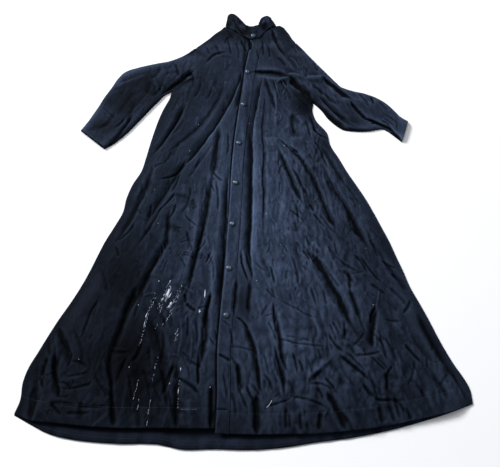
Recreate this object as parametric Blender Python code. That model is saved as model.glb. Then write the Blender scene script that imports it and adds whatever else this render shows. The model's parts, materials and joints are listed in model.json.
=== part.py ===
"""A cassock laid out flat on its back: every piece a maker would cut is its own thin cloth wall."""

import math
from collections import namedtuple

import bpy
import numpy as np

MM = 0.001                  # the tables below are in millimetres

# Driving sizes, in millimetres.
WALL = 2.0                  # body, sleeve and collar cloth with its turned seams
BAND_WALL = 1.2             # placket band
GAP = 0.3                   # between pieces that lie on or against each other
SEAM_GAP = 0.5              # across a seam, in plan
CROWN = 15.0                # how far the fronts puff up off the back, away from the sides
NECK_CROWN = 8.0            # and where they run under the collar
SIDE_RISE = 62.0            # how far in from a side seam the front reaches its crown
PLACKET_WIDTH = 40.0
LAP_DROP = WALL + GAP + 0.9  # how far the right front lies under the left one
LAP_EASE = 26.0             # the stretch beside the placket where it sinks under it
HEM_LEVEL = -700.0          # nominal level of the hem rows, before the hems' curves
HEM_BEND = 240.0            # the hem's curve fades out over this height
ARMPIT_LEVEL = 370.0        # the left armhole's lowest row
ARM_ROW = 23.5              # row spacing from there to the neck
ARM_ROWS = 14
SKIRT_ROWS = 28
RIGHT_COLUMNS = 20          # columns of each front outside its lap
LEFT_COLUMNS = 23
BACK_COLUMNS = 8
LAP_COLUMNS = np.array([0.0, 0.5, 1.0])  # the lap's columns, as shares of its width
RIGHT_ARMHOLE = (2, 10)     # rows, counted from the armpit level, where the right armhole runs
LEFT_ARMHOLE = (0, 11)
BUTTON_RADIUS = 9.5
BUTTON_HEIGHT = 4.6
BUTTON_SIDES = 16
BUTTON_PROFILE = ((1.0, 0.0), (1.0, 0.45), (0.92, 0.72), (0.62, 0.93))  # radius, height; as shares

CLOTH_COLOUR = (0.020, 0.026, 0.045, 1.0)
BUTTON_COLOUR = (0.012, 0.014, 0.022, 1.0)

Section = namedtuple("Section", "y right_side left_side")
# Where the wearer's right and left sides run, from hem to neck: side seams, armholes, shoulders.
BODY = (
    Section(-700, -657, 659), Section(-660, -646, 657), Section(-600, -645, 640),
    Section(-550, -634, 620), Section(-500, -612, 600), Section(-450, -588, 579),
    Section(-400, -562, 559), Section(-350, -533, 537), Section(-300, -507, 514),
    Section(-250, -485, 498), Section(-200, -466, 480), Section(-150, -446, 463),
    Section(-100, -421, 442), Section(-50, -398, 421), Section(0, -390, 398),
    Section(50, -374, 371), Section(100, -348, 343), Section(150, -336, 319),
    Section(200, -326, 293), Section(250, -315, 283), Section(300, -302, 247),
    Section(340, -289, 237), Section(370, -276, 240), Section(394, -266, 227),
    Section(417, -262, 216), Section(441, -246, 207), Section(464, -224, 204),
    Section(488, -201, 204), Section(511, -189, 207), Section(558, -188, 203),
    Section(605, -184, 193), Section(629, -158, 188), Section(652, -133, 173),
    Section(676, -111, 162), Section(699, -83, 148),
)

Edge = namedtuple("Edge", "y x")
# The free edge of the left front and its placket, with the small gape below the collar.
PLACKET_EDGE = (
    Edge(-730, -82), Edge(-600, -77), Edge(-500, -79), Edge(-400, -73), Edge(-300, -66),
    Edge(-200, -60), Edge(-100, -53), Edge(0, -48), Edge(100, -44), Edge(200, -37),
    Edge(300, -26), Edge(400, -13), Edge(450, -7), Edge(500, -1), Edge(550, 8),
    Edge(590, 16), Edge(610, 26), Edge(630, 20), Edge(655, 8),
)
# Where the top two rows of the fronts end under the collar, either side of the front centre.
RIGHT_NECK = (Edge(675, -26), Edge(699, -66))
LEFT_NECK = (Edge(675, 70), Edge(699, 112))

NeckTop = namedtuple("NeckTop", "x y")
# Height of the panels' top edge, from one shoulder over the back neck to the other.
NECK_TOP = (
    NeckTop(-90, 697), NeckTop(-78, 703), NeckTop(-64, 700), NeckTop(-40, 690), NeckTop(20, 676),
    NeckTop(70, 692), NeckTop(98, 700), NeckTop(112, 705), NeckTop(130, 708), NeckTop(150, 696),
)
NECK_BEND_FROM = 652.0
NECK_POINTS = ((-72.0, 706.0), (112.0, 709.0))  # where front, back and collar meet
NECK_RISE = 45.0

Hem = namedtuple("Hem", "x back right left")
# Height of each hem along the width: the back, then the right and the left front.
HEMS = (
    Hem(-657, -678, -674, -674), Hem(-600, -706, -692, -692), Hem(-550, -728, -697, -697),
    Hem(-500, -740, -702, -702), Hem(-430, -749, -708, -708), Hem(-350, -754, -712, -712),
    Hem(-230, -757, -712, -712), Hem(-180, -768, -713, -713), Hem(-85, -768, -713, -725),
    Hem(30, -770, -713, -729), Hem(120, -763, -713, -728), Hem(200, -751, -713, -727),
    Hem(300, -739, -713, -719), Hem(400, -721, -713, -707), Hem(500, -697, -688, -688),
    Hem(600, -668, -665, -665), Hem(659, -647, -646, -646),
)

Fold = namedtuple("Fold", "x0 y0 x1 y1 bow height before after")
# One ridge (height over 0) or trough (under 0) a row, along the arc from (x0, y0) to (x1, y1).
# bow is the arc's sag, to the left of its run; before and after are its half widths on that
# left side and on the other.
FOLDS = (
    # Beside the placket and down the strip pleat.
    Fold(18, 330, 24, -270, -4, -13, 9, 26),
    Fold(12, 420, 22, 60, -6, -4.5, 20, 20),
    Fold(44, 440, 42, -260, -4, 4.5, 22, 24),
    Fold(72, 440, 62, -150, -6, -5, 14, 6),
    Fold(-58, 130, -84, -420, 1, -12, 12, 18),
    Fold(-88, 280, -108, 60, 2, -10.5, 16, 18),
    # The right front, chest to hem.
    Fold(-12, 492, -196, 138, 28, -12, 12, 30),
    Fold(-190, 142, -318, -112, -8, -8, 18, 28),
    Fold(-30, 380, -150, 180, 11, 7.5, 18, 14),
    Fold(-10, 500, -36, 330, 6, -7, 14, 14),
    Fold(-218, 376, -322, 146, 8, -12, 14, 20),
    Fold(-176, 514, -268, 402, -4, -14, 14, 18),
    Fold(-302, 124, -420, -170, 13, -13, 15, 20),
    Fold(-112, 120, -182, -345, 4, -11, 20, 12),
    Fold(-146, 60, -205, -330, 16, 6, 22, 26),
    Fold(-98, -150, -110, -420, 6, 6, 20, 18),
    Fold(-104, -300, -132, -560, 6, -9, 14, 16),
    Fold(-238, -90, -372, -400, 16, -13, 18, 22),
    Fold(-330, -290, -396, -545, -3, -12, 15, 20),
    Fold(-240, -40, -250, -190, -2, -6, 12, 12),
    Fold(-290, -390, -236, -640, 18, -7.5, 26, 26),
    Fold(-330, -500, -350, -690, 6, 6, 24, 24),
    Fold(-568, -420, -510, -545, 8, -9, 16, 20),
    Fold(-552, -510, -530, -640, -4, -9, 14, 20),
    Fold(-610, -520, -600, -690, 4, -7.5, 16, 22),
    Fold(-200, -520, -198, -720, 4, -7.5, 18, 16),
    Fold(-92, -590, -96, -720, 2, -7.5, 22, 10),
    # The left front, neck to chest.
    Fold(20, 494, 160, 474, 8, -12, 9, 24),
    Fold(64, 472, 166, 472, -14, 5, 12, 12),
    Fold(100, 690, 156, 548, -6, -11, 11, 14),
    Fold(92, 652, 190, 480, -6, 9, 20, 22),
    Fold(150, 478, 205, 474, 4, 7.5, 12, 16),
    Fold(166, 476, 236, 382, -4, -13.5, 15, 22),
    Fold(80, 470, 116, 330, 4, -10, 12, 14),
    Fold(120, 470, 112, 250, -6, 6, 16, 18),
    Fold(166, 330, 172, 216, 4, -7.5, 14, 16),
    # The left front, chest to hem.
    Fold(106, 192, 190, -30, 3, -10.5, 12, 14),
    Fold(140, 205, 252, -10, 18, -11, 12, 16),
    Fold(236, 50, 294, -116, -3, -11, 12, 16),
    Fold(250, 196, 338, 40, 6, -11, 14, 18),
    Fold(258, 124, 406, -196, -5, -13.5, 18, 24),
    Fold(250, 150, 330, -80, 8, 6, 22, 20),
    Fold(196, -178, 332, -440, 10, -13.5, 20, 28),
    Fold(312, -300, 356, -410, 6, -8, 12, 16),
    Fold(436, -216, 516, -326, -2, -9, 14, 16),
    Fold(518, -375, 628, -600, 6, -14, 18, 26),
    Fold(384, -410, 368, -492, 2, -11, 8, 28),
    Fold(-4, -400, 44, -620, 8, -7.5, 14, 16),
    Fold(84, -340, 112, -620, 10, -7, 12, 14),
    Fold(184, -592, 264, -510, 4, 5, 26, 8),
    Fold(276, -506, 402, -620, 8, -4, 14, 16),
    Fold(234, -610, 288, -728, 6, -12, 18, 14),
    Fold(30, -610, 38, -732, 4, -12, 22, 12),
    Fold(-20, -530, -8, -620, 4, -7.5, 14, 14),
    Fold(420, -540, 402, -700, 8, -3, 20, 20),
    # The right sleeve.
    Fold(-384, 336, -484, 196, 14, -7, 10, 14),
    Fold(-350, 470, -530, 280, -14, -6, 40, 40),
    Fold(-260, 530, -440, 470, -14, 4.5, 30, 30),
    # The left sleeve.
    Fold(284, 478, 376, 386, 6, -10, 16, 16),
    Fold(382, 374, 536, 238, 22, -8, 12, 14),
    Fold(236, 432, 352, 302, 8, -6, 18, 26),
    Fold(206, 474, 292, 480, -4, 7.5, 14, 16),
    Fold(330, 380, 470, 340, 10, 4.5, 26, 26),
)

SleeveCut = namedtuple("SleeveCut", "over_x over_y under_x under_y")
# A sleeve's upper and lower outline, section by section, from the armhole to the cuff's seam
# and, on the last row, the hand opening.
RIGHT_SLEEVE = (
    SleeveCut(-184, 605, -262, 417), SleeveCut(-222, 573, -288, 400),
    SleeveCut(-272, 550, -306, 377), SleeveCut(-328, 536, -328, 350),
    SleeveCut(-384, 521, -349, 322), SleeveCut(-430, 504, -368, 297),
    SleeveCut(-457, 474, -385, 275), SleeveCut(-477, 434, -400, 256),
    SleeveCut(-499, 394, -413, 241), SleeveCut(-517, 354, -425, 228),
    SleeveCut(-534, 320, -437, 217), SleeveCut(-549, 290, -449, 206),
    SleeveCut(-569, 257, -480, 185),
)
LEFT_SLEEVE = (
    SleeveCut(188, 629, 240, 370), SleeveCut(213, 598, 256, 354),
    SleeveCut(248, 552, 272, 334), SleeveCut(282, 510, 288, 308),
    SleeveCut(306, 480, 306, 288), SleeveCut(326, 456, 326, 270),
    SleeveCut(345, 436, 346, 259), SleeveCut(385, 420, 388, 254),
    SleeveCut(430, 408, 428, 255), SleeveCut(468, 390, 458, 261),
    SleeveCut(500, 366, 478, 263), SleeveCut(525, 338, 490, 257),
    SleeveCut(545, 312, 502, 248), SleeveCut(568, 295, 539, 213),
)
SLEEVE_CROWN = 12.0
SLEEVE_SIDE = 34.0          # how far in from a sleeve's fold it reaches that height
ARMHOLE_SECTIONS = 3        # the armhole's curve fades into straight sections over these
NOSE = 0.03                 # share of the width where a sleeve's side fold turns
NOSE_LEVEL = 2.4            # middle of that fold above the floor
CUFF_RISE = 1.2             # the cuff band stands this much proud of the sleeve
CUFF_SECTIONS = 3

CollarCut = namedtuple("CollarCut", "seam_x seam_y seam_z top_x top_y top_z")
# The collar band, section by section, from its under end round the back to its lapped end.
COLLAR = (
    CollarCut(46, 644, 13.9, 44, 686, 18.5), CollarCut(14, 645, 13.9, 16, 688, 19.0),
    CollarCut(-14, 659, 13.2, 2, 700, 20.0), CollarCut(-36, 680, 12.0, -14, 722, 20.0),
    CollarCut(-56, 696, 9.0, -40, 752, 18.0), CollarCut(-69, 705, 7.4, -58, 763, 15.0),
    CollarCut(-74, 708, 4.8, -68, 761, 9.0), CollarCut(-70, 705, 3.4, -63, 757, 3.6),
    CollarCut(-52, 697, 3.4, -44, 744, 3.4), CollarCut(-24, 682, 3.4, -14, 720, 3.4),
    CollarCut(20, 668, 3.4, 20, 709, 3.4), CollarCut(64, 684, 3.4, 52, 716, 3.4),
    CollarCut(94, 698, 3.4, 78, 733, 3.4), CollarCut(110, 706, 3.4, 88, 743, 3.6),
    CollarCut(115, 709, 4.8, 93, 748, 9.0), CollarCut(108, 706, 7.4, 84, 748, 15.0),
    CollarCut(92, 694, 9.8, 66, 734, 19.0), CollarCut(72, 672, 13.6, 56, 710, 22.0),
    CollarCut(48, 645, 17.2, 44, 690, 22.0), CollarCut(11, 638, 17.4, 12, 686, 22.4),
)
COLLAR_STEPS = 34
COLLAR_RISE_ROWS = 3

Button = namedtuple("Button", "x y")
BUTTONS = (
    Button(31, 652), Button(11, 493), Button(-4, 355), Button(-19, 201),
    Button(-29, 51), Button(-38, -95), Button(-47, -244), Button(-53, -393),
)


def through(rows, key, value, at):
    """Read a smooth curve through a table: value against key, at the places asked for."""
    keys = np.array([getattr(row, key) for row in rows], float)
    values = np.array([getattr(row, value) for row in rows], float)
    slopes = np.gradient(values, keys)
    at = np.clip(np.asarray(at, float), keys[0], keys[-1])
    index = np.clip(np.searchsorted(keys, at) - 1, 0, len(keys) - 2)
    span = keys[index + 1] - keys[index]
    t = (at - keys[index]) / span
    start = (1 + 2 * t) * (1 - t) ** 2 * values[index] + t * (1 - t) ** 2 * span * slopes[index]
    end = t * t * (3 - 2 * t) * values[index + 1] - t * t * (1 - t) * span * slopes[index + 1]
    return start + end


def ease(value):
    """A smooth step from 0 to 1."""
    value = np.clip(value, 0.0, 1.0)
    return value * value * (3.0 - 2.0 * value)


def fold_height(x, y):
    """Sum every fold's ridge or trough at the given places."""
    total = np.zeros(np.broadcast(x, y).shape)
    for fold in FOLDS:
        run_x = fold.x1 - fold.x0
        run_y = fold.y1 - fold.y0
        length = math.hypot(run_x, run_y)
        along = ((x - fold.x0) * run_x + (y - fold.y0) * run_y) / length ** 2
        across = ((y - fold.y0) * run_x - (x - fold.x0) * run_y) / length
        across = across - 4.0 * fold.bow * along * (1.0 - along)
        width = np.where(across > 0, fold.before, fold.after)
        ends = ease(along / 0.22) * ease((1.0 - along) / 0.22)
        total += fold.height * ends * (1.0 - ease(np.abs(across) / width))
    return total


def body_rows():
    """The rows that every body panel shares, from hem to neck."""
    skirt = np.linspace(HEM_LEVEL, ARMPIT_LEVEL, SKIRT_ROWS + 1)
    chest = ARMPIT_LEVEL + ARM_ROW * np.arange(1, ARM_ROWS + 1)
    return np.concatenate([skirt, chest])


def bend_to_hem(x, y, hem):
    """Lower or lift the bottom rows so that the last one follows its hem."""
    share = ease(1.0 - (y - HEM_LEVEL) / HEM_BEND)
    return y + share * (through(HEMS, "x", hem, x) - HEM_LEVEL)


def bend_to_neck(x, y):
    """Lift or lower the top rows so that the last one follows the shoulders and the neck."""
    top = HEM_LEVEL + (ARMPIT_LEVEL - HEM_LEVEL) + ARM_ROW * ARM_ROWS
    share = ease((y - NECK_BEND_FROM) / (top - NECK_BEND_FROM))
    return y + share * (through(NECK_TOP, "x", "y", x) - top)


def side_lift(x, y):
    """How far a front has risen from its side seam, 0 at the seam and 1 at its crown."""
    rows = np.asarray(y, float)
    from_right = (x - through(BODY, "y", "right_side", rows)) / SIDE_RISE
    from_left = (through(BODY, "y", "left_side", rows) - x) / SIDE_RISE
    arm_right = armhole_lift(rows, RIGHT_ARMHOLE)
    arm_left = armhole_lift(rows, LEFT_ARMHOLE)
    lift = np.minimum(np.maximum(from_right, arm_right), np.maximum(from_left, arm_left))
    for neck_x, neck_y in NECK_POINTS:
        lift = np.minimum(lift, np.hypot(x - neck_x, y - neck_y) / NECK_RISE)
    return ease(lift)


def armhole_lift(y, armhole):
    """Along an armhole the cloth stays up, because the sleeve carries on from it."""
    low = ARMPIT_LEVEL + ARM_ROW * armhole[0]
    high = ARMPIT_LEVEL + ARM_ROW * armhole[1]
    return np.clip(np.minimum(y - low, high - y) / SIDE_RISE, 0.0, 1.0)


def front_level(x, y):
    """Underside of the fronts above the floor, before the lap."""
    lift = side_lift(x, y)
    crown = CROWN - (CROWN - NECK_CROWN) * ease((y - NECK_BEND_FROM + 50.0) / 50.0)
    level = WALL + GAP + lift * (crown - WALL - GAP)
    level += fold_height(x, y) * (0.25 + 0.75 * lift)
    lapped = ease((LAP_EASE + PLACKET_WIDTH / 2 - np.abs(x - placket_x(y) - PLACKET_WIDTH / 2)) / LAP_EASE)
    least = WALL + 2 * GAP + lapped * LAP_DROP
    return soft_floor(level, least)


def soft_floor(level, least):
    """Keep a level above a least one, with a round bend where it meets it."""
    over = level - least
    return least + 0.5 * (over + np.sqrt(over * over + 1.5))


def placket_x(y):
    return through(PLACKET_EDGE, "y", "x", y)


def front_right_points():
    """Underside of the right front: columns from the side seam to its edge under the placket."""
    grid = []
    for y in body_rows():
        side = float(through(BODY, "y", "right_side", y))
        if y > NECK_BEND_FROM + 1.0:
            xs = np.linspace(side, neck_edge(RIGHT_NECK, y), RIGHT_COLUMNS + 3)
        else:
            edge = float(placket_x(y))
            outer = np.linspace(side, edge - LAP_EASE, RIGHT_COLUMNS)
            xs = np.concatenate([outer, edge + LAP_COLUMNS * PLACKET_WIDTH])
        grid.append(front_row(xs, y, "right"))
    return drop_lap(np.array(grid))


def front_left_points():
    """Underside of the left front: columns from the placket's edge to the side seam."""
    grid = []
    for y in body_rows():
        side = float(through(BODY, "y", "left_side", y))
        if y > NECK_BEND_FROM + 1.0:
            xs = np.linspace(neck_edge(LEFT_NECK, y), side, LEFT_COLUMNS + 3)
        else:
            lap = float(placket_x(y)) + LAP_COLUMNS * PLACKET_WIDTH
            xs = np.concatenate([lap, np.linspace(lap[-1], side, LEFT_COLUMNS + 1)[1:]])
        grid.append(front_row(xs, y, "left"))
    return np.array(grid)


def back_points():
    """Underside of the back, flat on the floor."""
    grid = []
    for y in body_rows():
        right = float(through(BODY, "y", "right_side", y))
        left = float(through(BODY, "y", "left_side", y))
        xs = np.linspace(right, left, BACK_COLUMNS + 1)
        bent = bend_to_neck(xs, bend_to_hem(xs, np.full(len(xs), y), "back"))
        grid.append(np.column_stack([xs, bent, np.zeros(len(xs))]))
    return np.array(grid)


def front_row(xs, y, hem):
    """One row of a front's underside, bent to its hem and its neck."""
    rows = np.full(len(xs), y)
    bent = bend_to_neck(xs, bend_to_hem(xs, rows, hem))
    return np.column_stack([xs, bent, front_level(xs, rows)])


def neck_edge(table, y):
    return float(np.interp(y, [row.y for row in table], [row.x for row in table]))


def drop_lap(points):
    """Lower what runs under the left front."""
    inside = (points[..., 0] - placket_x(points[..., 1]) + LAP_EASE) / LAP_EASE
    points[..., 2] -= ease(inside) * LAP_DROP
    return points


def placket_points(front):
    """Underside of the placket, made from the left front's own points, moved out."""
    rows = SKIRT_ROWS + 1 + int((NECK_BEND_FROM - ARMPIT_LEVEL) / ARM_ROW)
    points = front[:rows, :len(LAP_COLUMNS)].copy()
    points[..., 2] += WALL + GAP
    return points


def sleeve_tube(table, armhole, outward):
    """Outer and inner rings of a sleeve, from its armhole to its cuff's seam."""
    rows = ARMPIT_LEVEL + ARM_ROW * np.arange(armhole[1], armhole[0] - 1, -1)
    side = "right_side" if outward < 0 else "left_side"
    hole = np.column_stack([through(BODY, "y", side, rows) + outward * SEAM_GAP, rows])
    shares = (rows[0] - rows) / (rows[0] - rows[-1])
    sections = range(len(table) - 1)
    return tube_rings(table, sections, shares, hole, 0.0)


def cuff_tube(table):
    """Outer and inner rings of a cuff band, from its seam to the hand opening."""
    shares = np.linspace(0.0, 1.0, 7)
    length = math.dist(table[-2][:2], table[-1][:2])
    start = len(table) - 2 + SEAM_GAP / length
    sections = np.linspace(start, len(table) - 1, CUFF_SECTIONS + 1)
    return tube_rings(table, sections, shares, None, CUFF_RISE)


def tube_rings(table, sections, shares, hole, rise):
    """Flattened rings, each with its upper layer, a side fold, the flat under layer and a fold."""
    numbers = np.arange(len(table))
    outline = np.array(table, float)
    outer = []
    inner = []
    for section in sections:
        cut = [np.interp(section, numbers, outline[:, column]) for column in range(4)]
        over = np.array(cut[:2])
        under = np.array(cut[2:])
        shift = np.zeros((len(shares), 2))
        if hole is not None:
            fade = 1.0 - ease(np.array(section / ARMHOLE_SECTIONS))
            straight = hole[0] + shares[:, None] * (hole[-1] - hole[0])
            shift = fade * (hole - straight)
            over = over + fade * (hole[0] - outline[0, :2])
            under = under + fade * (hole[-1] - outline[0, 2:])
        inset = np.concatenate([[0.0, NOSE], shares[1:-1], [1.0 - NOSE, 1.0]])
        deeper = np.concatenate([[NOSE * 1.2, NOSE * 1.8], shares[1:-1], [1.0 - NOSE * 1.8, 1.0 - NOSE * 1.2]])
        outer.append(ring(over, under, inset, shares, shift, WALL, 0.0, rise))
        inner.append(ring(over, under, deeper, shares, shift, 0.0, WALL, rise))
    return np.array(outer), np.array(inner)


def ring(over, under, places, shares, shift, above, below, rise):
    """One ring: its upper layer stands 'above' over the sleeve's level, its lower one at 'below'."""
    x = over[0] + places * (under[0] - over[0]) + np.interp(places, shares, shift[:, 0])
    y = over[1] + places * (under[1] - over[1]) + np.interp(places, shares, shift[:, 1])
    top = sleeve_level(x, y, places, math.dist(over, under)) + rise + above
    top[0] = NOSE_LEVEL
    top[-1] = NOSE_LEVEL
    upper = np.column_stack([x, y, top])
    lower = np.column_stack([x, y, np.full(len(x), below)])[-2:0:-1]
    return np.concatenate([upper, lower])


def sleeve_level(x, y, places, width):
    """Underside of a sleeve's upper layer above the floor."""
    lift = ease(np.minimum(places, 1.0 - places) * width / SLEEVE_SIDE)
    level = WALL + 2 * GAP + lift * (SLEEVE_CROWN - WALL)
    return soft_floor(level + fold_height(x, y) * lift, WALL + GAP)


def collar_surface():
    """Middle surface of the collar band: a row of points up the band at each step round it."""
    numbers = np.arange(len(COLLAR))
    cuts = np.array(COLLAR, float)
    steps = np.linspace(0, len(COLLAR) - 1, COLLAR_STEPS + 1)
    seam = np.column_stack([np.interp(steps, numbers, cuts[:, column]) for column in range(3)])
    top = np.column_stack([np.interp(steps, numbers, cuts[:, column]) for column in range(3, 6)])
    up = np.linspace(0.0, 1.0, COLLAR_RISE_ROWS + 1)
    return seam[:, None, :] + up[None, :, None] * (top - seam)[:, None, :]


def thicken(surface, wall):
    """Two skins, half a wall to either side of a surface."""
    along = np.gradient(surface, axis=0)
    across = np.gradient(surface, axis=1)
    normal = np.cross(across, along)
    normal /= np.linalg.norm(normal, axis=2, keepdims=True)
    return surface - normal * wall / 2, surface + normal * wall / 2


def lift_by(points, height):
    """A copy of the points, moved straight up."""
    raised = points.copy()
    raised[..., 2] += height
    return raised


def grid_faces(rows, columns, first, flip):
    """Triangles over a grid of points that starts at index first, all cut along one diagonal."""
    faces = []
    for row in range(rows - 1):
        for column in range(columns - 1):
            corner = first + row * columns + column
            opposite = corner + columns + 1
            for face in ((corner, corner + 1, opposite), (corner, opposite, corner + columns)):
                faces.append(face[::-1] if flip else face)
    return faces


def rim_loop(rows, columns):
    """Indices round the border of a grid, anticlockwise when columns run right and rows up."""
    bottom = [column for column in range(columns)]
    right = [row * columns + columns - 1 for row in range(1, rows)]
    top = [(rows - 1) * columns + column for column in range(columns - 2, -1, -1)]
    left = [row * columns for row in range(rows - 2, 0, -1)]
    return bottom + right + top + left


def add_object(name, points, faces, material):
    mesh = bpy.data.meshes.new(name)
    mesh.from_pydata([tuple(point * MM) for point in points], [], faces)
    mesh.materials.append(material)
    mesh.shade_smooth()
    piece = bpy.data.objects.new(name, mesh)
    bpy.context.scene.collection.objects.link(piece)
    return piece


def add_cloth(name, lower, upper, material):
    """A closed thin wall between two grids of points, columns running right and rows up."""
    rows, columns = lower.shape[:2]
    count = rows * columns
    faces = grid_faces(rows, columns, count, False) + grid_faces(rows, columns, 0, True)
    loop = rim_loop(rows, columns)
    for here, after in zip(loop, loop[1:] + loop[:1]):
        faces.append((here, after, after + count, here + count))
    points = np.concatenate([lower.reshape(-1, 3), upper.reshape(-1, 3)])
    return add_object(name, points, faces, material)


def add_tube(name, outer, inner, material, mirror):
    """A closed wall between outer and inner rings, open at both ends."""
    sections, count = outer.shape[:2]
    shell = sections * count
    faces = []
    for section in range(sections - 1):
        for place in range(count):
            here = section * count + place
            beside = section * count + (place + 1) % count
            outside = (here, beside, beside + count, here + count)
            faces.append(outside)
            faces.append(tuple(shell + index for index in outside[::-1]))
    for section, turned in ((0, True), (sections - 1, False)):
        for place in range(count):
            here = section * count + place
            beside = section * count + (place + 1) % count
            rim = (here, beside, beside + shell, here + shell)
            faces.append(rim[::-1] if turned else rim)
    if mirror:
        faces = [face[::-1] for face in faces]
    points = np.concatenate([outer.reshape(-1, 3), inner.reshape(-1, 3)])
    return add_object(name, points, faces, material)


def height_on(piece, x, y):
    """Height of a piece's upper face at one place, found by looking straight down on it."""
    hit, place, _, _ = piece.ray_cast((x * MM, y * MM, 1.0), (0.0, 0.0, -1.0))
    return place.z / MM if hit else 0.0


def button_seat(button, cloth):
    """The least height at which a button clears what it is sewn on."""
    heights = []
    for share in (0.0, 0.5, 1.0):
        for turn in np.linspace(0.0, math.tau, BUTTON_SIDES, endpoint=False):
            x = button.x + share * BUTTON_RADIUS * math.cos(turn)
            y = button.y + share * BUTTON_RADIUS * math.sin(turn)
            heights.append(height_on(cloth, x, y))
    return max(heights) + GAP


def add_button(name, button, seat, material):
    """A turned button: flat underneath, a low rim and a domed face."""
    sides = BUTTON_SIDES
    points = []
    for radius, height in BUTTON_PROFILE:
        for side in range(sides):
            turn = math.tau * side / sides
            x = button.x + BUTTON_RADIUS * radius * math.cos(turn)
            y = button.y + BUTTON_RADIUS * radius * math.sin(turn)
            points.append(np.array([x, y, seat + BUTTON_HEIGHT * height]))
    faces = [tuple(reversed(range(sides)))]
    for level in range(len(BUTTON_PROFILE) - 1):
        for side in range(sides):
            here = level * sides + side
            beside = level * sides + (side + 1) % sides
            faces.append((here, beside, beside + sides, here + sides))
    points.append(np.array([button.x, button.y, seat + BUTTON_HEIGHT]))
    last = (len(BUTTON_PROFILE) - 1) * sides
    for side in range(sides):
        faces.append((last + side, last + (side + 1) % sides, len(points) - 1))
    return add_object(name, points, faces, material)


def plain_material(name, colour, roughness):
    material = bpy.data.materials.new(name)
    material.use_nodes = True
    shader = material.node_tree.nodes["Principled BSDF"]
    shader.inputs["Base Color"].default_value = colour
    shader.inputs["Roughness"].default_value = roughness
    shader.inputs["Metallic"].default_value = 0.0
    return material


def cloth_material(name):
    return plain_material(name, CLOTH_COLOUR, 0.85)


def build_body():
    """Back, both fronts and the placket, which is returned."""
    back = back_points()
    add_cloth("back", back, lift_by(back, WALL), cloth_material("back"))
    right = front_right_points()
    add_cloth("front_right", right, lift_by(right, WALL), cloth_material("front_right"))
    left = front_left_points()
    add_cloth("front_left", left, lift_by(left, WALL), cloth_material("front_left"))
    band = placket_points(left)
    return add_cloth("placket", band, lift_by(band, BAND_WALL), cloth_material("placket"))


def build_sleeves():
    for side, table, armhole, outward in (
        ("right", RIGHT_SLEEVE, RIGHT_ARMHOLE, -1),
        ("left", LEFT_SLEEVE, LEFT_ARMHOLE, 1),
    ):
        sleeve = "sleeve_" + side
        outer, inner = sleeve_tube(table, armhole, outward)
        add_tube(sleeve, outer, inner, cloth_material(sleeve), outward < 0)
        cuff = "cuff_" + side
        outer, inner = cuff_tube(table)
        add_tube(cuff, outer, inner, cloth_material(cuff), outward < 0)


def build_collar():
    lower, upper = thicken(collar_surface(), WALL)
    return add_cloth("collar", lower, upper, cloth_material("collar"))


def build_buttons(collar, placket):
    """One button on the collar, the others down the placket."""
    bpy.context.view_layer.update()
    for number, button in enumerate(BUTTONS, start=1):
        name = "button_" + str(number)
        seat = button_seat(button, collar if number == 1 else placket)
        add_button(name, button, seat, plain_material(name, BUTTON_COLOUR, 0.25))


def main():
    for stale in list(bpy.data.objects):
        bpy.data.objects.remove(stale, do_unlink=True)
    placket = build_body()
    build_sleeves()
    collar = build_collar()
    build_buttons(collar, placket)


main()
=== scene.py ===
"""A cassock laid out flat: each cut piece of cloth, its sewing, its buttons and its paint marks."""

import json
import math
from collections import namedtuple

import bpy
import numpy as np
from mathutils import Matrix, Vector

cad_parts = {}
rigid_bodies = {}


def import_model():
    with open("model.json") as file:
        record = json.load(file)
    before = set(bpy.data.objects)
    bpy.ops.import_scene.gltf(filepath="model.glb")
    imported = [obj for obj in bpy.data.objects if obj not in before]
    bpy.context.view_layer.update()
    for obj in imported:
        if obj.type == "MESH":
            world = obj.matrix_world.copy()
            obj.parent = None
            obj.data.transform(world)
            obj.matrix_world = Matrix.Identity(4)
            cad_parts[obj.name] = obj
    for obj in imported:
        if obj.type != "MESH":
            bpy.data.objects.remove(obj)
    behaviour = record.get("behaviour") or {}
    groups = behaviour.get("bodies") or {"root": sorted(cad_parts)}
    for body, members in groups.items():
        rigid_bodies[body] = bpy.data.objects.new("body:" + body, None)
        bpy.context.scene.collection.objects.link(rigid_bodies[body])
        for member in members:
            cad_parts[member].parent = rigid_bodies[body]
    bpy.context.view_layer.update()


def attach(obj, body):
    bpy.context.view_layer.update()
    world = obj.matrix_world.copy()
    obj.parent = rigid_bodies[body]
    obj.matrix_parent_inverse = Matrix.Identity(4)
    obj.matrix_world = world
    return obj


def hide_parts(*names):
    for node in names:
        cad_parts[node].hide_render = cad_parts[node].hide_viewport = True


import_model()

bl_info = {
    "name": "Cassock",
    "version": (1, 0, 0),
    "blender": (4, 5, 0),
    "location": "3D Viewport > Sidebar > Cassock",
    "description": "A cassock laid out flat, with its folds, sewing, buttons and paint marks",
    "category": "Object",
}

MM = 0.001                  # the tables below are in millimetres

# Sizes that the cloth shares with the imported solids.
WALL = 2.0                  # body, sleeve and collar cloth with its turned seams
BAND_WALL = 1.2             # placket band
GAP = 0.3                   # between pieces that lie on each other
CROWN = 15.0                # how far the fronts puff up off the back, away from the sides
NECK_CROWN = 9.0            # and where they run under the collar
NECK_EASE = 50.0            # over this stretch below the neck
SIDE_RISE = 62.0            # how far in from a side seam the front reaches its crown
PLACKET_WIDTH = 40.0
LAP_DROP = WALL + GAP + 0.9  # how far the right front lies under the left one
LAP_EASE = 26.0             # the stretch beside the placket where it sinks under it
HEM_LEVEL = -700.0          # nominal level of the hem rows, before the hems' curves
HEM_BEND = 240.0            # the hem's curve fades out over this height
ARMPIT_LEVEL = 370.0        # the left armhole's lowest row
ARM_ROW = 23.5              # row spacing from there to the neck
TOP_LEVEL = ARMPIT_LEVEL + 14 * ARM_ROW
RIGHT_ARMHOLE = (2, 10)     # rows, counted from the armpit level, where the right armhole runs
LEFT_ARMHOLE = (0, 11)
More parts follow.
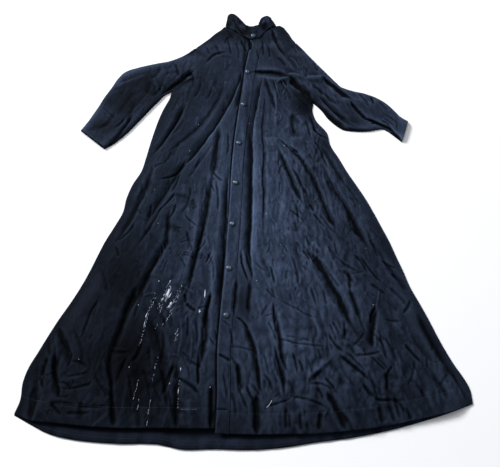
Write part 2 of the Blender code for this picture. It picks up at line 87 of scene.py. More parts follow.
NECK_BEND_FROM = 652.0
NECK_POINTS = ((-72.0, 706.0), (112.0, 709.0))  # where front, back and collar meet
NECK_RISE = 45.0
SLEEVE_CROWN = 12.0
SLEEVE_SIDE = 24.0          # how far in from a sleeve's fold it reaches that height
ARMHOLE_SECTIONS = 3        # the armhole's curve fades into straight sections over these


def rows_of(kind, *rows):
    """A table: rows of numbers under the kind's named columns."""
    return tuple(kind(*row) for row in rows)


Section = namedtuple("Section", "y right_side left_side")
# Where the wearer's right and left sides run, from hem to neck: side seams, armholes, shoulders.
BODY = rows_of(
    Section,
    (-700, -657, 659), (-660, -646, 657), (-600, -645, 640), (-550, -634, 620), (-500, -612, 600),
    (-450, -588, 579), (-400, -562, 559), (-350, -533, 537), (-300, -507, 514), (-250, -485, 498),
    (-200, -466, 480), (-150, -446, 463), (-100, -421, 442), (-50, -398, 421), (0, -390, 398),
    (50, -374, 371), (100, -348, 343), (150, -336, 319), (200, -326, 293), (250, -315, 283),
    (300, -302, 247), (340, -289, 237), (370, -276, 240), (394, -266, 227), (417, -262, 216),
    (441, -246, 207), (464, -224, 204), (488, -201, 204), (511, -189, 207), (558, -188, 203),
    (605, -184, 193), (629, -158, 188), (652, -133, 173), (676, -111, 162), (699, -83, 148),
)

Edge = namedtuple("Edge", "y x")
# The free edge of the left front and its placket, with the small gape below the collar.
PLACKET_EDGE = rows_of(
    Edge,
    (-730, -82), (-600, -77), (-500, -79), (-400, -73), (-300, -66), (-200, -60), (-100, -53),
    (0, -48), (100, -44), (200, -37), (300, -26), (400, -13), (450, -7), (500, -1), (550, 8),
    (590, 16), (610, 26), (630, 20), (655, 8),
)
# Where the neckline of each front runs under the collar, from the placket to the shoulder.
RIGHT_NECK = rows_of(Edge, (652, 52), (675, -26), (699, -66))
LEFT_NECK = rows_of(Edge, (652, 8), (675, 70), (699, 112))

NeckTop = namedtuple("NeckTop", "x y")
# Height of the panels' top edge, from one shoulder over the back neck to the other.
NECK_TOP = rows_of(
    NeckTop,
    (-90, 697), (-78, 703), (-64, 700), (-40, 690), (20, 676), (70, 692), (98, 700), (112, 705),
    (130, 708), (150, 696),
)

Hem = namedtuple("Hem", "x back right left")
# Height of each hem along the width: the back, then the right and the left front.
HEMS = rows_of(
    Hem,
    (-657, -678, -674, -674), (-600, -706, -692, -692), (-550, -728, -697, -697),
    (-500, -740, -702, -702), (-430, -749, -708, -708), (-350, -754, -712, -712),
    (-230, -757, -712, -712), (-180, -768, -713, -713), (-85, -768, -713, -725),
    (30, -770, -713, -729), (120, -763, -713, -728), (200, -751, -713, -727),
    (300, -739, -713, -719), (400, -721, -713, -707), (500, -697, -688, -688),
    (600, -668, -665, -665), (659, -647, -646, -646),
)

Fold = namedtuple("Fold", "x0 y0 x1 y1 bow height before after")
# One ridge (height over 0) or trough (under 0) a row, along the arc from (x0, y0) to (x1, y1).
# bow is the arc's sag, to the left of its run; before and after are its half widths on that
# left side and on the other.
FOLDS = rows_of(
    Fold,
    # Beside the placket and down the strip pleat.
    (21, 268, 20, -290, 0, -12, 7, 30), (64, 472, 22, 150, -7, -9, 6, 24),
    (12, 420, 22, 60, -6, -3, 20, 20), (44, 440, 42, -260, -4, 3, 22, 20),
    (72, 440, 62, -150, -6, -5, 14, 6), (-50, 130, -76, -420, 1, -10.5, 7, 24),
    (-88, 280, -108, 60, 2, -9, 16, 18),
    # The right front, chest to hem.
    (-4, 504, -232, 74, 25, -10.5, 8, 30), (-190, 142, -318, -112, -8, -8, 18, 28),
    (-30, 380, -150, 180, 11, 1.5, 22, 16), (-10, 500, -36, 330, 6, -7, 14, 14),
    (-206, 368, -322, 146, 10, -12, 10, 20), (-176, 514, -268, 402, -4, -14, 14, 18),
    (-302, 124, -420, -170, 13, -13, 15, 20), (-98, 120, -182, -345, 4, -8.5, 12, 17),
    (-146, 60, -205, -330, 16, 6, 22, 26), (-98, -150, -110, -420, 6, 6, 20, 18),
    (-104, -300, -132, -560, 6, -9, 14, 16), (-244, -124, -372, -400, 12, -11, 14, 22),
    (-330, -290, -396, -545, -3, -12, 15, 20), (-240, -40, -250, -190, -2, -6, 12, 12),
    (-290, -390, -236, -640, 18, -7.5, 26, 26), (-330, -500, -350, -690, 6, 6, 24, 24),
    (-568, -420, -510, -545, 8, -9, 16, 20), (-552, -510, -530, -640, -4, -9, 14, 20),
    (-610, -520, -600, -690, 4, -7.5, 16, 22), (-200, -520, -198, -720, 4, -7.5, 18, 16),
    (-92, -590, -96, -720, 2, -7.5, 22, 10),
    # The left front, neck to chest.
    (20, 494, 160, 474, 8, -12, 9, 24), (64, 472, 166, 472, -14, 5, 12, 12),
    (100, 690, 156, 548, -6, -11, 11, 14), (92, 652, 190, 480, -6, 9, 20, 22),
    (150, 478, 205, 474, 4, 7.5, 12, 16), (166, 476, 236, 382, -4, -13.5, 15, 22),
    (70, 470, 108, 325, 4, -9, 8, 14), (120, 470, 112, 250, -6, 6, 16, 18),
    (166, 330, 172, 216, 4, -4.5, 20, 22),
    # The left front, chest to hem.
    (106, 192, 190, -30, 3, -10.5, 12, 14), (140, 205, 252, -10, 18, -11, 12, 16),
    (236, 50, 294, -116, -3, -11, 12, 16), (250, 196, 338, 40, 6, -11, 14, 18),
    (226, 318, 254, 234, -2, -8, 7, 10), (246, 242, 288, 224, 2, -5, 6, 8),
    (258, 124, 406, -196, -5, -13.5, 18, 24), (250, 150, 330, -80, 8, 6, 22, 20),
    (196, -178, 332, -440, 10, -13.5, 20, 28), (312, -300, 356, -410, 6, -8, 12, 16),
    (436, -216, 516, -326, -2, -9, 14, 16), (518, -375, 628, -600, 6, -14, 14, 28),
    (404, -366, 374, -500, 2, -11, 7, 28), (-4, -400, 44, -620, 8, -7.5, 14, 16),
    (84, -340, 112, -620, 10, -7, 12, 14), (184, -592, 264, -510, 4, 5, 26, 8),
    (276, -506, 402, -620, 8, -4, 14, 16), (234, -610, 288, -728, 6, -12, 18, 14),
    (30, -610, 38, -732, 4, -12, 22, 12), (-20, -530, -8, -620, 4, -7.5, 14, 14),
    (420, -540, 402, -700, 8, -3, 20, 20),
    # The right sleeve.
    (-384, 326, -484, 186, 12, -8, 5, 12), (-336, 482, -462, 424, 0, 7, 52, 16),
    (-346, 486, -312, 398, 2, 5, 22, 30), (-505, 352, -446, 292, 2, -2, 4, 5),
    (-260, 530, -440, 470, -14, 4.5, 30, 30),
    # The left sleeve.
    (276, 480, 384, 372, -2, -12, 10, 18), (372, 374, 436, 290, -7, -12, 5, 14),
    (414, 308, 514, 254, 0, -12, 5, 14), (492, 272, 542, 212, 2, -11, 5, 12),
    (256, 402, 362, 266, -2, -7, 24, 8), (228, 446, 330, 352, 3, -4, 12, 12),
    (206, 474, 292, 480, -4, 7.5, 14, 16), (330, 380, 470, 340, 10, 4.5, 26, 26),
)

SleeveCut = namedtuple("SleeveCut", "over_x over_y under_x under_y")
# A sleeve's upper and lower outline, section by section, from the armhole to the cuff's seam
# and, on the last row, the hand opening.
RIGHT_SLEEVE = rows_of(
    SleeveCut,
    (-184, 605, -262, 417), (-222, 573, -288, 400), (-272, 550, -306, 377), (-328, 536, -328, 350),
    (-384, 521, -349, 322), (-430, 504, -368, 297), (-457, 474, -385, 275), (-477, 434, -400, 256),
    (-499, 394, -413, 241), (-517, 354, -425, 228), (-534, 320, -437, 217), (-549, 290, -449, 206),
    (-569, 257, -480, 185),
)
LEFT_SLEEVE = rows_of(
    SleeveCut,
    (188, 629, 240, 370), (213, 598, 256, 354), (248, 552, 272, 334), (282, 510, 288, 308),
    (306, 480, 306, 288), (326, 456, 326, 270), (345, 436, 346, 259), (385, 420, 388, 254),
    (430, 408, 428, 255), (468, 390, 458, 261), (500, 366, 478, 263), (525, 338, 490, 257),
    (545, 312, 502, 248), (568, 295, 539, 213),
)

CollarCut = namedtuple("CollarCut", "seam_x seam_y seam_z top_x top_y top_z")
# The collar band, section by section, from its under end round the back to its lapped end.
COLLAR = rows_of(
    CollarCut,
    (46, 644, 12.4, 44, 686, 18.5), (14, 645, 12.4, 16, 688, 19.0), (-14, 659, 11.8, 2, 700, 20.0),
    (-36, 680, 10.8, -14, 722, 20.0), (-57, 693, 9.0, -36, 748, 18.0),
    (-70, 701, 7.4, -52, 757, 15.0), (-74, 705, 4.8, -64, 757, 9.0), (-70, 705, 3.4, -63, 757, 3.6),
    (-52, 697, 3.4, -44, 744, 3.4), (-24, 682, 3.4, -14, 720, 3.4), (20, 668, 3.4, 20, 709, 3.4),
    (64, 684, 3.4, 52, 716, 3.4), (94, 698, 3.4, 78, 733, 3.4), (110, 706, 3.4, 88, 743, 3.6),
    (115, 709, 4.8, 96, 742, 9.0), (108, 706, 7.4, 82, 747, 15.0), (92, 694, 9.0, 61, 734, 19.0),
    (72, 672, 12.0, 52, 712, 22.0), (48, 645, 15.2, 44, 690, 22.0), (11, 638, 15.6, 12, 686, 22.4),
)

Button = namedtuple("Button", "x y")
# The one on the collar, then those down the placket.
BUTTONS = rows_of(
    Button,
    (31, 652), (11, 493), (-4, 355), (-19, 201), (-29, 51), (-38, -95), (-47, -244), (-53, -393),
)

# The sharper small creases, in the same columns as the folds.
CREASES = rows_of(
    Fold,
    # Lower corner of the right front.
    (-563, -508, -541, -592, -7, -7, 7, 6), (-541, -588, -498, -620, 14, -5, 7, 7),
    (-603, -530, -590, -602, 10, -6, 6, 8), (-517, -528, -448, -553, 9, -4, 6, 8),
    (-590, -561, -545, -547, -4, 3, 5, 7), (-536, -601, -478, -605, -3, -3, 5, 5),
    (-406, -600, -376, -638, 5, -5, 6, 7), (-396, -540, -378, -636, 3, -6, 8, 8),
    (-372, -602, -334, -505, 6, -5, 8, 7), (-398, -484, -330, -494, -4, 4.5, 5, 8),
    (-392, -494, -336, -502, -4, -3.5, 5, 8), (-302, -468, -328, -532, 5, -7, 12, 10),
    (-300, -540, -268, -642, 4, -4, 6, 6), (-252, -540, -222, -660, 6, -6.5, 7, 7),
    (-219, -556, -236, -604, 0, -5, 6, 7), (-226, -600, -204, -692, 5, -5, 6, 7),
    (-200, -572, -122, -622, 4, -7, 9, 10), (-130, -520, -133, -606, 0, -5, 7, 7),
    (-176, -520, -118, -546, 2, -3, 5, 7), (-200, -636, -194, -716, 0, -6, 12, 8),
    (-382, -636, -364, -712, 2, -6.5, 16, 14), (-606, -598, -612, -694, -3, -6, 14, 18),
    (-470, -640, -462, -700, 2, -3.5, 14, 14), (-300, -640, -292, -716, 0, -4, 12, 14),
    (-152, -640, -150, -716, 0, 3, 18, 18), (-340, -560, -318, -640, 4, -5, 7, 7),
    (-286, -480, -272, -560, 3, -3, 7, 7), (-246, -430, -248, -536, 5, -3.5, 8, 8),
    (-512, -430, -470, -560, 8, -2.5, 10, 12), (-486, -270, -540, -400, -6, -2.5, 12, 14),
    (-548, -300, -566, -372, -4, -3, 8, 10), (-440, -330, -492, -478, 0, -4, 6, 8),
    (-558, -420, -530, -490, 0, -8, 7, 10), (-536, -478, -512, -506, 0, -7, 6, 8),
    (-510, -500, -516, -545, 2, -5, 6, 6), (-560, -496, -538, -600, -5, -10, 7, 10),
    (-541, -590, -532, -634, 3, -8, 7, 9), (-540, -624, -500, -628, -4, -5, 5, 6),
    (-584, -512, -598, -578, 4, -8, 8, 8), (-600, -568, -580, -606, 3, -7, 7, 7),
    (-608, -590, -606, -705, 0, -10, 14, 14), (-560, -640, -470, -657, -2, -6, 6, 8),
    (-478, -656, -386, -650, -4, -6, 6, 8), (-552, -640, -514, -686, -2, -7, 6, 7),
    (-510, -676, -430, -672, -3, -5, 8, 8), (-394, -500, -380, -620, 0, -9, 12, 10),
    (-384, -600, -368, -715, 0, -9, 14, 12), (-522, -570, -448, -556, -3, -4, 5, 6),
    (-510, -604, -440, -584, -5, -5, 7, 8), (-438, -560, -388, -640, 3, -4, 5, 6),
    (-405, -610, -372, -640, 2, -5, 6, 6), (-588, -440, -572, -520, -3, -7, 12, 10),
    (-566, -440, -545, -520, 0, 4, 9, 9),
    # Below the paint, towards the placket.
    (-100, -310, -118, -440, -2, -10, 8, 14), (-181, -318, -176, -352, 0, -6, 6, 8),
    (-178, -346, -140, -378, -2, -7, 7, 9), (-146, -366, -100, -364, 0, -3, 5, 6),
    (-168, -385, -172, -470, 3, -4, 7, 7), (-146, -400, -140, -490, 4, -4, 6, 7),
    (-124, -420, -122, -500, 0, -4, 7, 6), (-104, -450, -84, -480, -3, -4, 4, 5),
    (-90, -430, -84, -468, 2, -3, 4, 4), (-186, -494, -150, -526, 0, -3, 4, 6),
    (-160, -528, -120, -548, 0, -3, 4, 6), (-133, -490, -133, -610, 0, -5, 5, 6),
    (-206, -528, -242, -628, 4, -8, 8, 9), (-262, -596, -232, -650, -3, -3, 5, 6),
    (-236, -590, -226, -660, 0, -3, 5, 5), (-98, -585, -92, -735, 0, -7, 12, 12),
    (-188, -400, -196, -520, 4, 3, 7, 7), (-156, -440, -158, -540, 3, 3, 6, 6),
    # Middle and side of the right front.
    (-296, 67, -198, 142, -24, -5, 7, 9), (-302, 108, -272, 127, 3, -3.5, 6, 6),
    (-420, -150, -354, -80, -18, -5, 9, 9), (-411, -168, -394, -212, 3, -4, 7, 7),
    (-200, -200, -156, -216, 3, -3, 6, 7), (-228, -20, -244, -78, 8, -4, 7, 7),
    (-268, -200, -300, -262, 5, -4, 8, 8), (-188, -112, -180, -196, 5, -3, 8, 9),
    (-176, 40, -206, -66, 8, -3, 9, 10), (-352, 60, -332, -12, 6, -3, 10, 9),
    (-244, 176, -276, 118, 4, -3, 8, 9), (-150, 150, -186, 62, 4, -3, 8, 8),
    (-92, 60, -88, -60, 3, -3.5, 8, 8), (-100, -210, -96, -292, 3, -4, 6, 7),
    (-460, -232, -420, -330, 8, -3, 12, 14), (-310, -310, -332, -400, -4, -4, 10, 12),
    (-352, -40, -326, -62, 0, -3, 5, 5), (-226, 24, -282, -56, 3, -5, 5, 8),
    (-214, 90, -246, 12, 3, -5, 6, 8), (-262, -20, -336, -170, 4, -6, 8, 12),
    (-262, -150, -254, -186, 3, -4, 5, 5), (-270, -160, -258, -196, 0, -3, 4, 4),
    (-196, -60, -146, -112, -2, -3.5, 4, 5), (-222, -106, -196, -108, 0, -2.5, 4, 4),
    (-212, -160, -172, -152, 2, -2.5, 4, 4), (-196, -192, -164, -206, 2, -3, 4, 5),
    (-202, -212, -180, -244, 2, -3, 5, 5), (-124, -148, -152, -196, 2, -4, 5, 6),
    (-104, -186, -122, -232, 1, -4, 4, 5), (-98, -200, -112, -236, 1, -3, 4, 4),
    (-104, 96, -66, 54, -4, -5, 6, 8), (-112, 46, -98, 14, 2, -4, 5, 5),
    (-300, -20, -306, -78, 1, -4, 7, 8), (-108, 206, -186, 84, 6, -2.5, 8, 10),
    # Chest and shoulder of the right front.
    (-70, 470, -270, 160, 37, -5, 18, 14), (-146, 530, -60, 586, 14, -5.5, 11, 12),
    (-110, 618, -88, 560, 3, -3, 9, 10), (-62, 650, -50, 560, 4, -3.5, 8, 9),
    (-30, 640, -22, 540, 3, -3, 7, 9), (-150, 610, -128, 566, 5, -3, 9, 9),
    (-74, 690, -40, 640, 5, -4, 10, 9), (-96, 470, -140, 372, 5, -3, 11, 12),
    (-150, 460, -186, 380, 5, -3, 9, 10), (-200, 500, -188, 440, 6, -4, 8, 9),
    (-236, 400, -262, 322, 5, -3.5, 9, 10), (-60, 250, -64, 150, 3, -4, 7, 8),
    (-210, 302, -252, 232, 6, -3, 9, 9),
    # The gape below the collar.
    (-12, 644, 10, 582, -3, -8, 5, 8), (14, 626, 20, 590, 0, -8, 6, 8),
    # Beside and under the left front's placket.
    (-42, -508, -8, -548, -3, -4.5, 6, 7), (-52, -480, 40, -496, 3, -2.5, 4, 5),
    (-24, -532, -17, -604, 6, -6, 9, 8), (18, -588, 44, -624, 2, -5.5, 6, 7),
    (62, -303, 92, -338, 3, -3, 5, 5), (89, -338, 95, -462, 1, -5, 5, 5),
    (70, -408, 96, -474, 3, -3.5, 6, 6), (86, -470, 114, -632, 5, -8.5, 8, 9),
    (104, -503, 126, -562, 2, -5.5, 6, 6), (140, -498, 151, -562, 3, -5.5, 6, 6),
    (156, -520, 172, -562, 2, -3.5, 6, 6), (100, -336, 232, -402, -6, -2.5, 4, 6),
    (56, -500, 70, -566, 3, -3, 7, 8), (58, -648, 134, -632, -5, -4.5, 5, 6),
    (130, -627, 242, -662, 9, -5.5, 6, 7), (-40, -610, -22, -690, 3, -4, 9, 9),
    (-64, -560, -50, -640, 4, -3.5, 8, 8), (-27, -270, -27, -400, 0, -7, 10, 12),
    (14, -280, 16, -392, 0, -6, 14, 12), (-24, -396, 14, -440, 7, -7, 5, 7),
    (10, -430, 36, -520, 4, -7, 6, 8), (34, -505, 44, -615, 2, -7, 6, 8),
    (80, -456, 256, -484, -3, -3, 4, 6), (128, -460, 146, -478, 0, -3, 3, 4),
    (56, -560, 80, -612, 3, -5, 7, 8), (24, -620, 38, -735, 0, -8, 18, 14),
    (6, -592, 30, -640, -3, -7, 6, 7), (-20, -590, 16, -668, -3, -6, 7, 8),
    (-78, -504, -38, -530, 3, -7, 7, 8), (-46, -424, -37, -484, 2, -4, 5, 5),
    (-62, -408, -40, -430, 2, -3, 4, 5), (-84, -664, -44, -664, 0, -5, 4, 5),
    (120, -650, 122, -722, 0, -5, 10, 10), (162, -660, 164, -722, 0, -5, 10, 9),
    # Hem and lower corner of the left front.
    (182, -592, 262, -616, 12, -4.5, 5, 6), (184, -592, 230, -552, 5, -6, 8, 16),
    (232, -572, 263, -613, 3, -6, 6, 7), (216, -664, 211, -722, 0, -7.5, 12, 9),
    (173, -656, 178, -716, 0, -4.5, 11, 9), (131, -664, 132, -718, 0, -4, 9, 8),
    (224, -684, 240, -662, 1, 4, 6, 6), (210, -600, 226, -636, 4, -5, 7, 7),
    (281, -505, 368, -584, 3, -6.5, 6, 8), (301, -500, 356, -562, 3, -4.5, 5, 6),
    (380, -518, 426, -556, 2, -4, 5, 6), (386, -640, 397, -704, 0, -5, 15, 12),
    (416, -640, 426, -700, 2, -4, 11, 10), (460, -652, 472, -692, 0, -4, 11, 9),
    (469, -470, 526, -537, -2, -7, 6, 8), (566, -468, 552, -500, 2, -4, 7, 7),
    (320, -510, 406, -500, -7, -5, 5, 7), (421, -458, 431, -492, 1, -4.5, 6, 6),
    (390, -428, 384, -494, 3, 4, 6, 6), (402, -448, 416, -532, 2, -4, 7, 7),
    (318, -490, 362, -440, -2, -3, 6, 6), (300, -402, 302, -466, 2, -5.5, 7, 7),
    (262, -404, 287, -462, 2, -5, 6, 6), (254, -418, 268, -458, 2, -3.5, 5, 6),
    (248, -444, 300, -504, -5, -4.5, 6, 7), (424, -402, 472, -408, -2, -3, 5, 6),
    (512, -340, 478, -388, 3, -5.5, 8, 9), (480, -570, 520, -640, 6, -4, 12, 14),
    (540, -560, 580, -640, 6, -4, 14, 14), (500, -520, 470, -600, 5, -3.5, 8, 9),
    (560, -600, 600, -560, 4, -3, 10, 10), (404, -360, 381, -424, -3, -7, 6, 7),
    (378, -438, 404, -476, 3, -5, 5, 6), (404, -452, 410, -500, 0, -4, 5, 5),
    (434, -540, 418, -562, 0, -6, 5, 5), (418, -555, 417, -612, 0, -8, 6, 6),
    (366, -516, 418, -560, 1, -5, 5, 6), (344, -588, 376, -630, -3, -7, 6, 7),
    (372, -628, 436, -632, -3, -6, 6, 7), (430, -628, 458, -676, 5, -6, 6, 8),
    (540, -516, 534, -548, 0, -4, 5, 5), (414, -300, 400, -392, -2, 3, 4, 5),
    (434, -620, 442, -690, 0, -5, 8, 8),
    # Middle and side of the left front.
    (240, -250, 303, -352, 3, -5, 7, 7), (300, -248, 334, -290, 2, -4.5, 10, 10),
    (242, -306, 252, -362, 2, -3.5, 6, 6), (352, -258, 288, -208, 4, -3.5, 9, 9),
    (342, -198, 384, -264, 4, -4.5, 9, 9), (240, -58, 286, -126, 3, -4, 8, 8),
    (164, -18, 172, -106, 3, -4, 6, 7), (150, -198, 162, -306, 4, -3.5, 7, 8),
    (198, -298, 222, -364, 3, -3.5, 7, 7), (260, -258, 292, -304, 2, -3.5, 6, 6),
    (400, -150, 448, -250, 6, -4, 12, 14), (380, -290, 432, -330, 4, -3.5, 10, 10),
    (440, -300, 500, -372, 6, -4, 12, 12), (330, 60, 384, -48, 5, -4, 10, 10),
    (232, 216, 262, 140, 4, -5, 8, 9), (206, 300, 224, 222, 4, -4.5, 8, 9),
    (240, 312, 252, 256, 1, -5.5, 9, 9), (140, -40, 196, -96, 4, -3, 7, 7),
    (-6, -172, 14, -296, -10, -8, 5, 7), (4, -180, 24, -292, 2, -5, 5, 7),
    (186, -178, 206, -222, 0, -5, 4, 6), (200, -186, 222, -236, 0, -5, 4, 5),
    (242, -130, 286, -200, 18, 1.2, 6, 6), (80, -232, 90, -296, 1, -5, 6, 7),
    (82, -300, 96, -345, 1, -3, 5, 5), (114, 216, 168, 164, 3, -5, 5, 7),
    (158, 112, 208, -4, 4, -7, 7, 10), (146, 196, 186, 166, 2, -4, 4, 5),
    (252, 166, 278, 104, 2, -5, 5, 7), (232, 276, 274, 232, -6, -7, 6, 7),
    (396, -116, 424, -210, -2, -4, 8, 10), (360, -200, 424, -292, -3, -5, 7, 8),
    (320, -255, 322, -312, 0, -5, 9, 9), (212, -22, 226, -52, 0, -6, 6, 8),
    (222, -56, 252, -96, 1, -4.5, 6, 7), (452, -258, 506, -290, -2, -7, 8, 10),
    (428, -218, 478, -246, -2, -5, 5, 6),
    # Chest and shoulder of the left front.
    (124, 460, 146, 404, 2, -4.5, 5, 6), (148, 440, 128, 388, 3, 3, 5, 5),
    (100, 462, 120, 396, 1, 3.5, 5, 6), (158, 462, 200, 414, -3, -9, 10, 12),
    (98, 464, 119, 366, 2, -5.5, 6, 7), (130, 464, 152, 428, 3, -4.5, 7, 7),
    (106, 440, 150, 462, 4, 4, 7, 7), (142, 430, 160, 372, 3, -3.5, 8, 9),
    (60, 640, 66, 560, 2, -4, 8, 9), (84, 610, 92, 552, 2, -4, 8, 8),
    (40, 600, 44, 540, 2, -3, 6, 7), (118, 560, 150, 510, 3, -4.5, 8, 9),
    (140, 690, 168, 620, 3, -5, 10, 10), (166, 640, 188, 560, 3, -4, 9, 9),
    (160, 560, 200, 500, 4, 4, 9, 9), (36, 360, 42, 300, 2, -3, 7, 7),
    # The right sleeve, with the small pleats that are sewn into its cuff.
    (-300, 520, -342, 456, 8, -4, 12, 12), (-254, 532, -238, 470, 5, -4, 8, 8),
    (-420, 470, -452, 380, 8, -1.5, 14, 14), (-330, 440, -404, 330, 8, -2.5, 6, 20),
    (-452, 330, -504, 262, 5, -2.5, 14, 12), (-414, 310, -452, 262, 5, -4.5, 7, 8),
    (-288, 450, -330, 384, 5, -1.8, 6, 10),
    # The left sleeve, with the same pleats.
    (448, 392, 456, 354, 2, -5, 7, 8), (436, 276, 454, 288, 1, -4, 6, 6),
    (470, 292, 502, 268, 3, -5, 7, 7), (306, 330, 352, 290, 4, -4.5, 8, 8),
    (240, 540, 262, 500, 3, -3.5, 9, 9), (400, 400, 440, 340, 5, -3.5, 10, 10),
    (486, 318, 524, 286, 0, -4.5, 4, 5), (480, 302, 516, 272, 0, -4.5, 4, 5),
    (212, 590, 240, 530, 3, -3.5, 10, 10), (470, 372, 500, 330, 3, -4, 8, 9),
)

Patch = namedtuple("Patch", "x y reach_x reach_y amount")
# Where the cloth has been crushed by handling, over a base amount of crumple.
CRUSHED = rows_of(
    Patch,
    (250, -250, 200, 380, 0.8), (210, 60, 130, 180, 0.7), (360, -590, 260, 130, 1.0),
    (60, -590, 150, 140, 0.8), (-560, -590, 110, 120, 1.0), (-300, -600, 160, 110, 1.1),
    (-200, -400, 120, 160, 0.5), (-400, -140, 90, 170, 0.5), (-180, -160, 110, 180, 0.55),
    (230, 400, 90, 120, 0.6), (-250, 450, 90, 90, 0.6),
)
BASE_CRUMPLE = 0.35

# Patches where the cloth is painted paler (over 0) and darker (under 0): mostly painted light
# and painted shade, standing in for how the light falls across the garment.
TONES = rows_of(
    Patch,
    (30, -20, 150, 420, 0.15), (-580, -560, 250, 270, -2.0), (-320, -540, 85, 140, -2.0),
    (-420, -150, 130, 280, -1.5), (-300, 350, 170, 150, -0.75), (-352, 440, 30, 36, -0.3),
    (-420, 395, 60, 45, -0.4), (-425, 330, 40, 60, -0.5), (-480, 375, 40, 30, -0.7),
    (-490, 268, 50, 24, -0.9), (-400, 350, 150, 130, -0.4), (378, 288, 30, 16, -0.7),
    (-375, -520, 70, 60, -0.5), (-55, 668, 36, 18, -1.2), (10, 720, 260, 150, -1.2),
    (540, -460, 200, 300, -0.9), (60, -770, 560, 140, -1.45), (350, -60, 110, 330, -0.5),
    (205, 375, 42, 44, -1.4), (272, 200, 22, 20, -0.8), (-2, -345, 26, 52, -0.9),
    (200, 40, 45, 60, -0.35), (430, -170, 60, 90, -0.5), (240, -70, 40, 60, -0.3),
    (330, -120, 40, 40, -0.25), (-190, 300, 60, 90, 0.15), (200, -250, 60, 90, -0.15),
    (-430, -420, 34, 80, 0.5), (364, -458, 16, 26, -0.9), (-180, -430, 150, 230, -0.6),
    (-170, 480, 150, 170, -0.6), (-220, -640, 60, 90, -0.8), (-10, -340, 40, 90, -0.5),
    (180, 520, 130, 130, -0.5), (370, 350, 130, 120, -0.6), (-250, -40, 110, 220, -0.4),
    (300, -560, 220, 130, -0.4), (-230, 130, 110, 160, -0.6), (60, 360, 200, 120, -0.3),
    (-40, -560, 110, 110, -0.4), (240, 100, 90, 120, -0.3), (-360, -270, 50, 60, -0.8),
    (210, 340, 40, 24, -0.8), (76, 726, 22, 22, 1.5), (-36, 712, 24, 24, 0.5),
)
BASE_TONE = -0.2
# Painted shade along creases: bands in the folds' columns, with the change of tone as their height.
PAINTED_CREASE_SHADE = rows_of(
    Fold,
    # Under both arms and along the sleeves.
    (148, 488, 258, 340, 0, -3.4, 13, 13), (270, 484, 388, 368, -2, -3.4, 8, 14),
    (372, 374, 434, 290, -7, -3.0, 4, 7), (416, 308, 514, 254, 0, -3.0, 4, 7),
    (490, 274, 540, 214, 2, -3.0, 4, 7), (232, 386, 356, 252, -7, -3.4, 13, 15),
    (330, 262, 450, 250, 0, -1.2, 8, 10), (256, 402, 362, 266, -2, -1.1, 22, 5),
    (228, 446, 330, 352, 3, -0.6, 10, 8), (520, 304, 524, 250, 0, -1.6, 3, 3),
    (-386, 318, -484, 182, 12, -3.0, 4, 7), (-184, 510, -298, 400, 2, -3.8, 8, 8),
    (-604, 285, -445, 157, 0, -3.0, 3, 5), (-180, 474, -232, 444, 0, -2.4, 5, 5),
    (-330, 488, -466, 422, 0, -1.2, 46, 4), (-342, 496, -308, 388, 0, -1.2, 4, 40),
    (-388, 416, -448, 308, 0, -1.1, 6, 14), (-384, 384, -404, 280, 0, -1.1, 3, 26),
    (-455, 292, -545, 250, 0, -0.9, 6, 16), (-300, 452, -280, 420, 0, -0.8, 4, 6),
    # Round the neck and beside the placket.
    (-68, 772, -68, 690, 0, -2.2, 7, 6), (4, 650, 26, 590, 0, -2.5, 6, 6),
    (98, 706, 132, 590, -4, -1.6, 6, 10), (2, 668, -2, 470, 0, -1.6, 4, 12),
    (56, 444, 12, 120, -6, -0.6, 8, 16), (12, 250, 13, -330, 0, -0.75, 10, 14),
    (20, 330, 20, -330, 0, -0.8, 3, 8), (-50, 742, 10, 634, -6, -3.0, 5, 5),
    (-42, 756, 18, 666, 0, -3.0, 5, 5), (84, 742, 56, 672, 4, -1.6, 4, 8),
    # Down the fronts.
    (-4, 504, -232, 74, 25, -1.3, 4, 9), (-206, 368, -322, 146, 10, -1.3, 4, 9),
    (-190, 142, -318, -112, -8, -1.1, 4, 7), (-82, 262, -116, 96, -2, -1.0, 5, 10),
    (162, 320, 170, 222, 0, -1.6, 9, 9), (226, 318, 254, 234, -2, -1.6, 5, 7),
    (246, 242, 288, 224, 2, -1.2, 4, 6), (396, -366, 372, -500, 2, -1.2, 4, 12),
    (514, -380, 590, -546, 4, -1.3, 8, 14), (346, -588, 390, -634, -3, -1.6, 3, 4),
    (374, -628, 462, -634, -4, -1.6, 3, 4), (80, -496, 114, -646, 4, -1.2, 4, 5),
)

Streak = namedtuple("Streak", "x0 y0 x1 y1 width flecks")
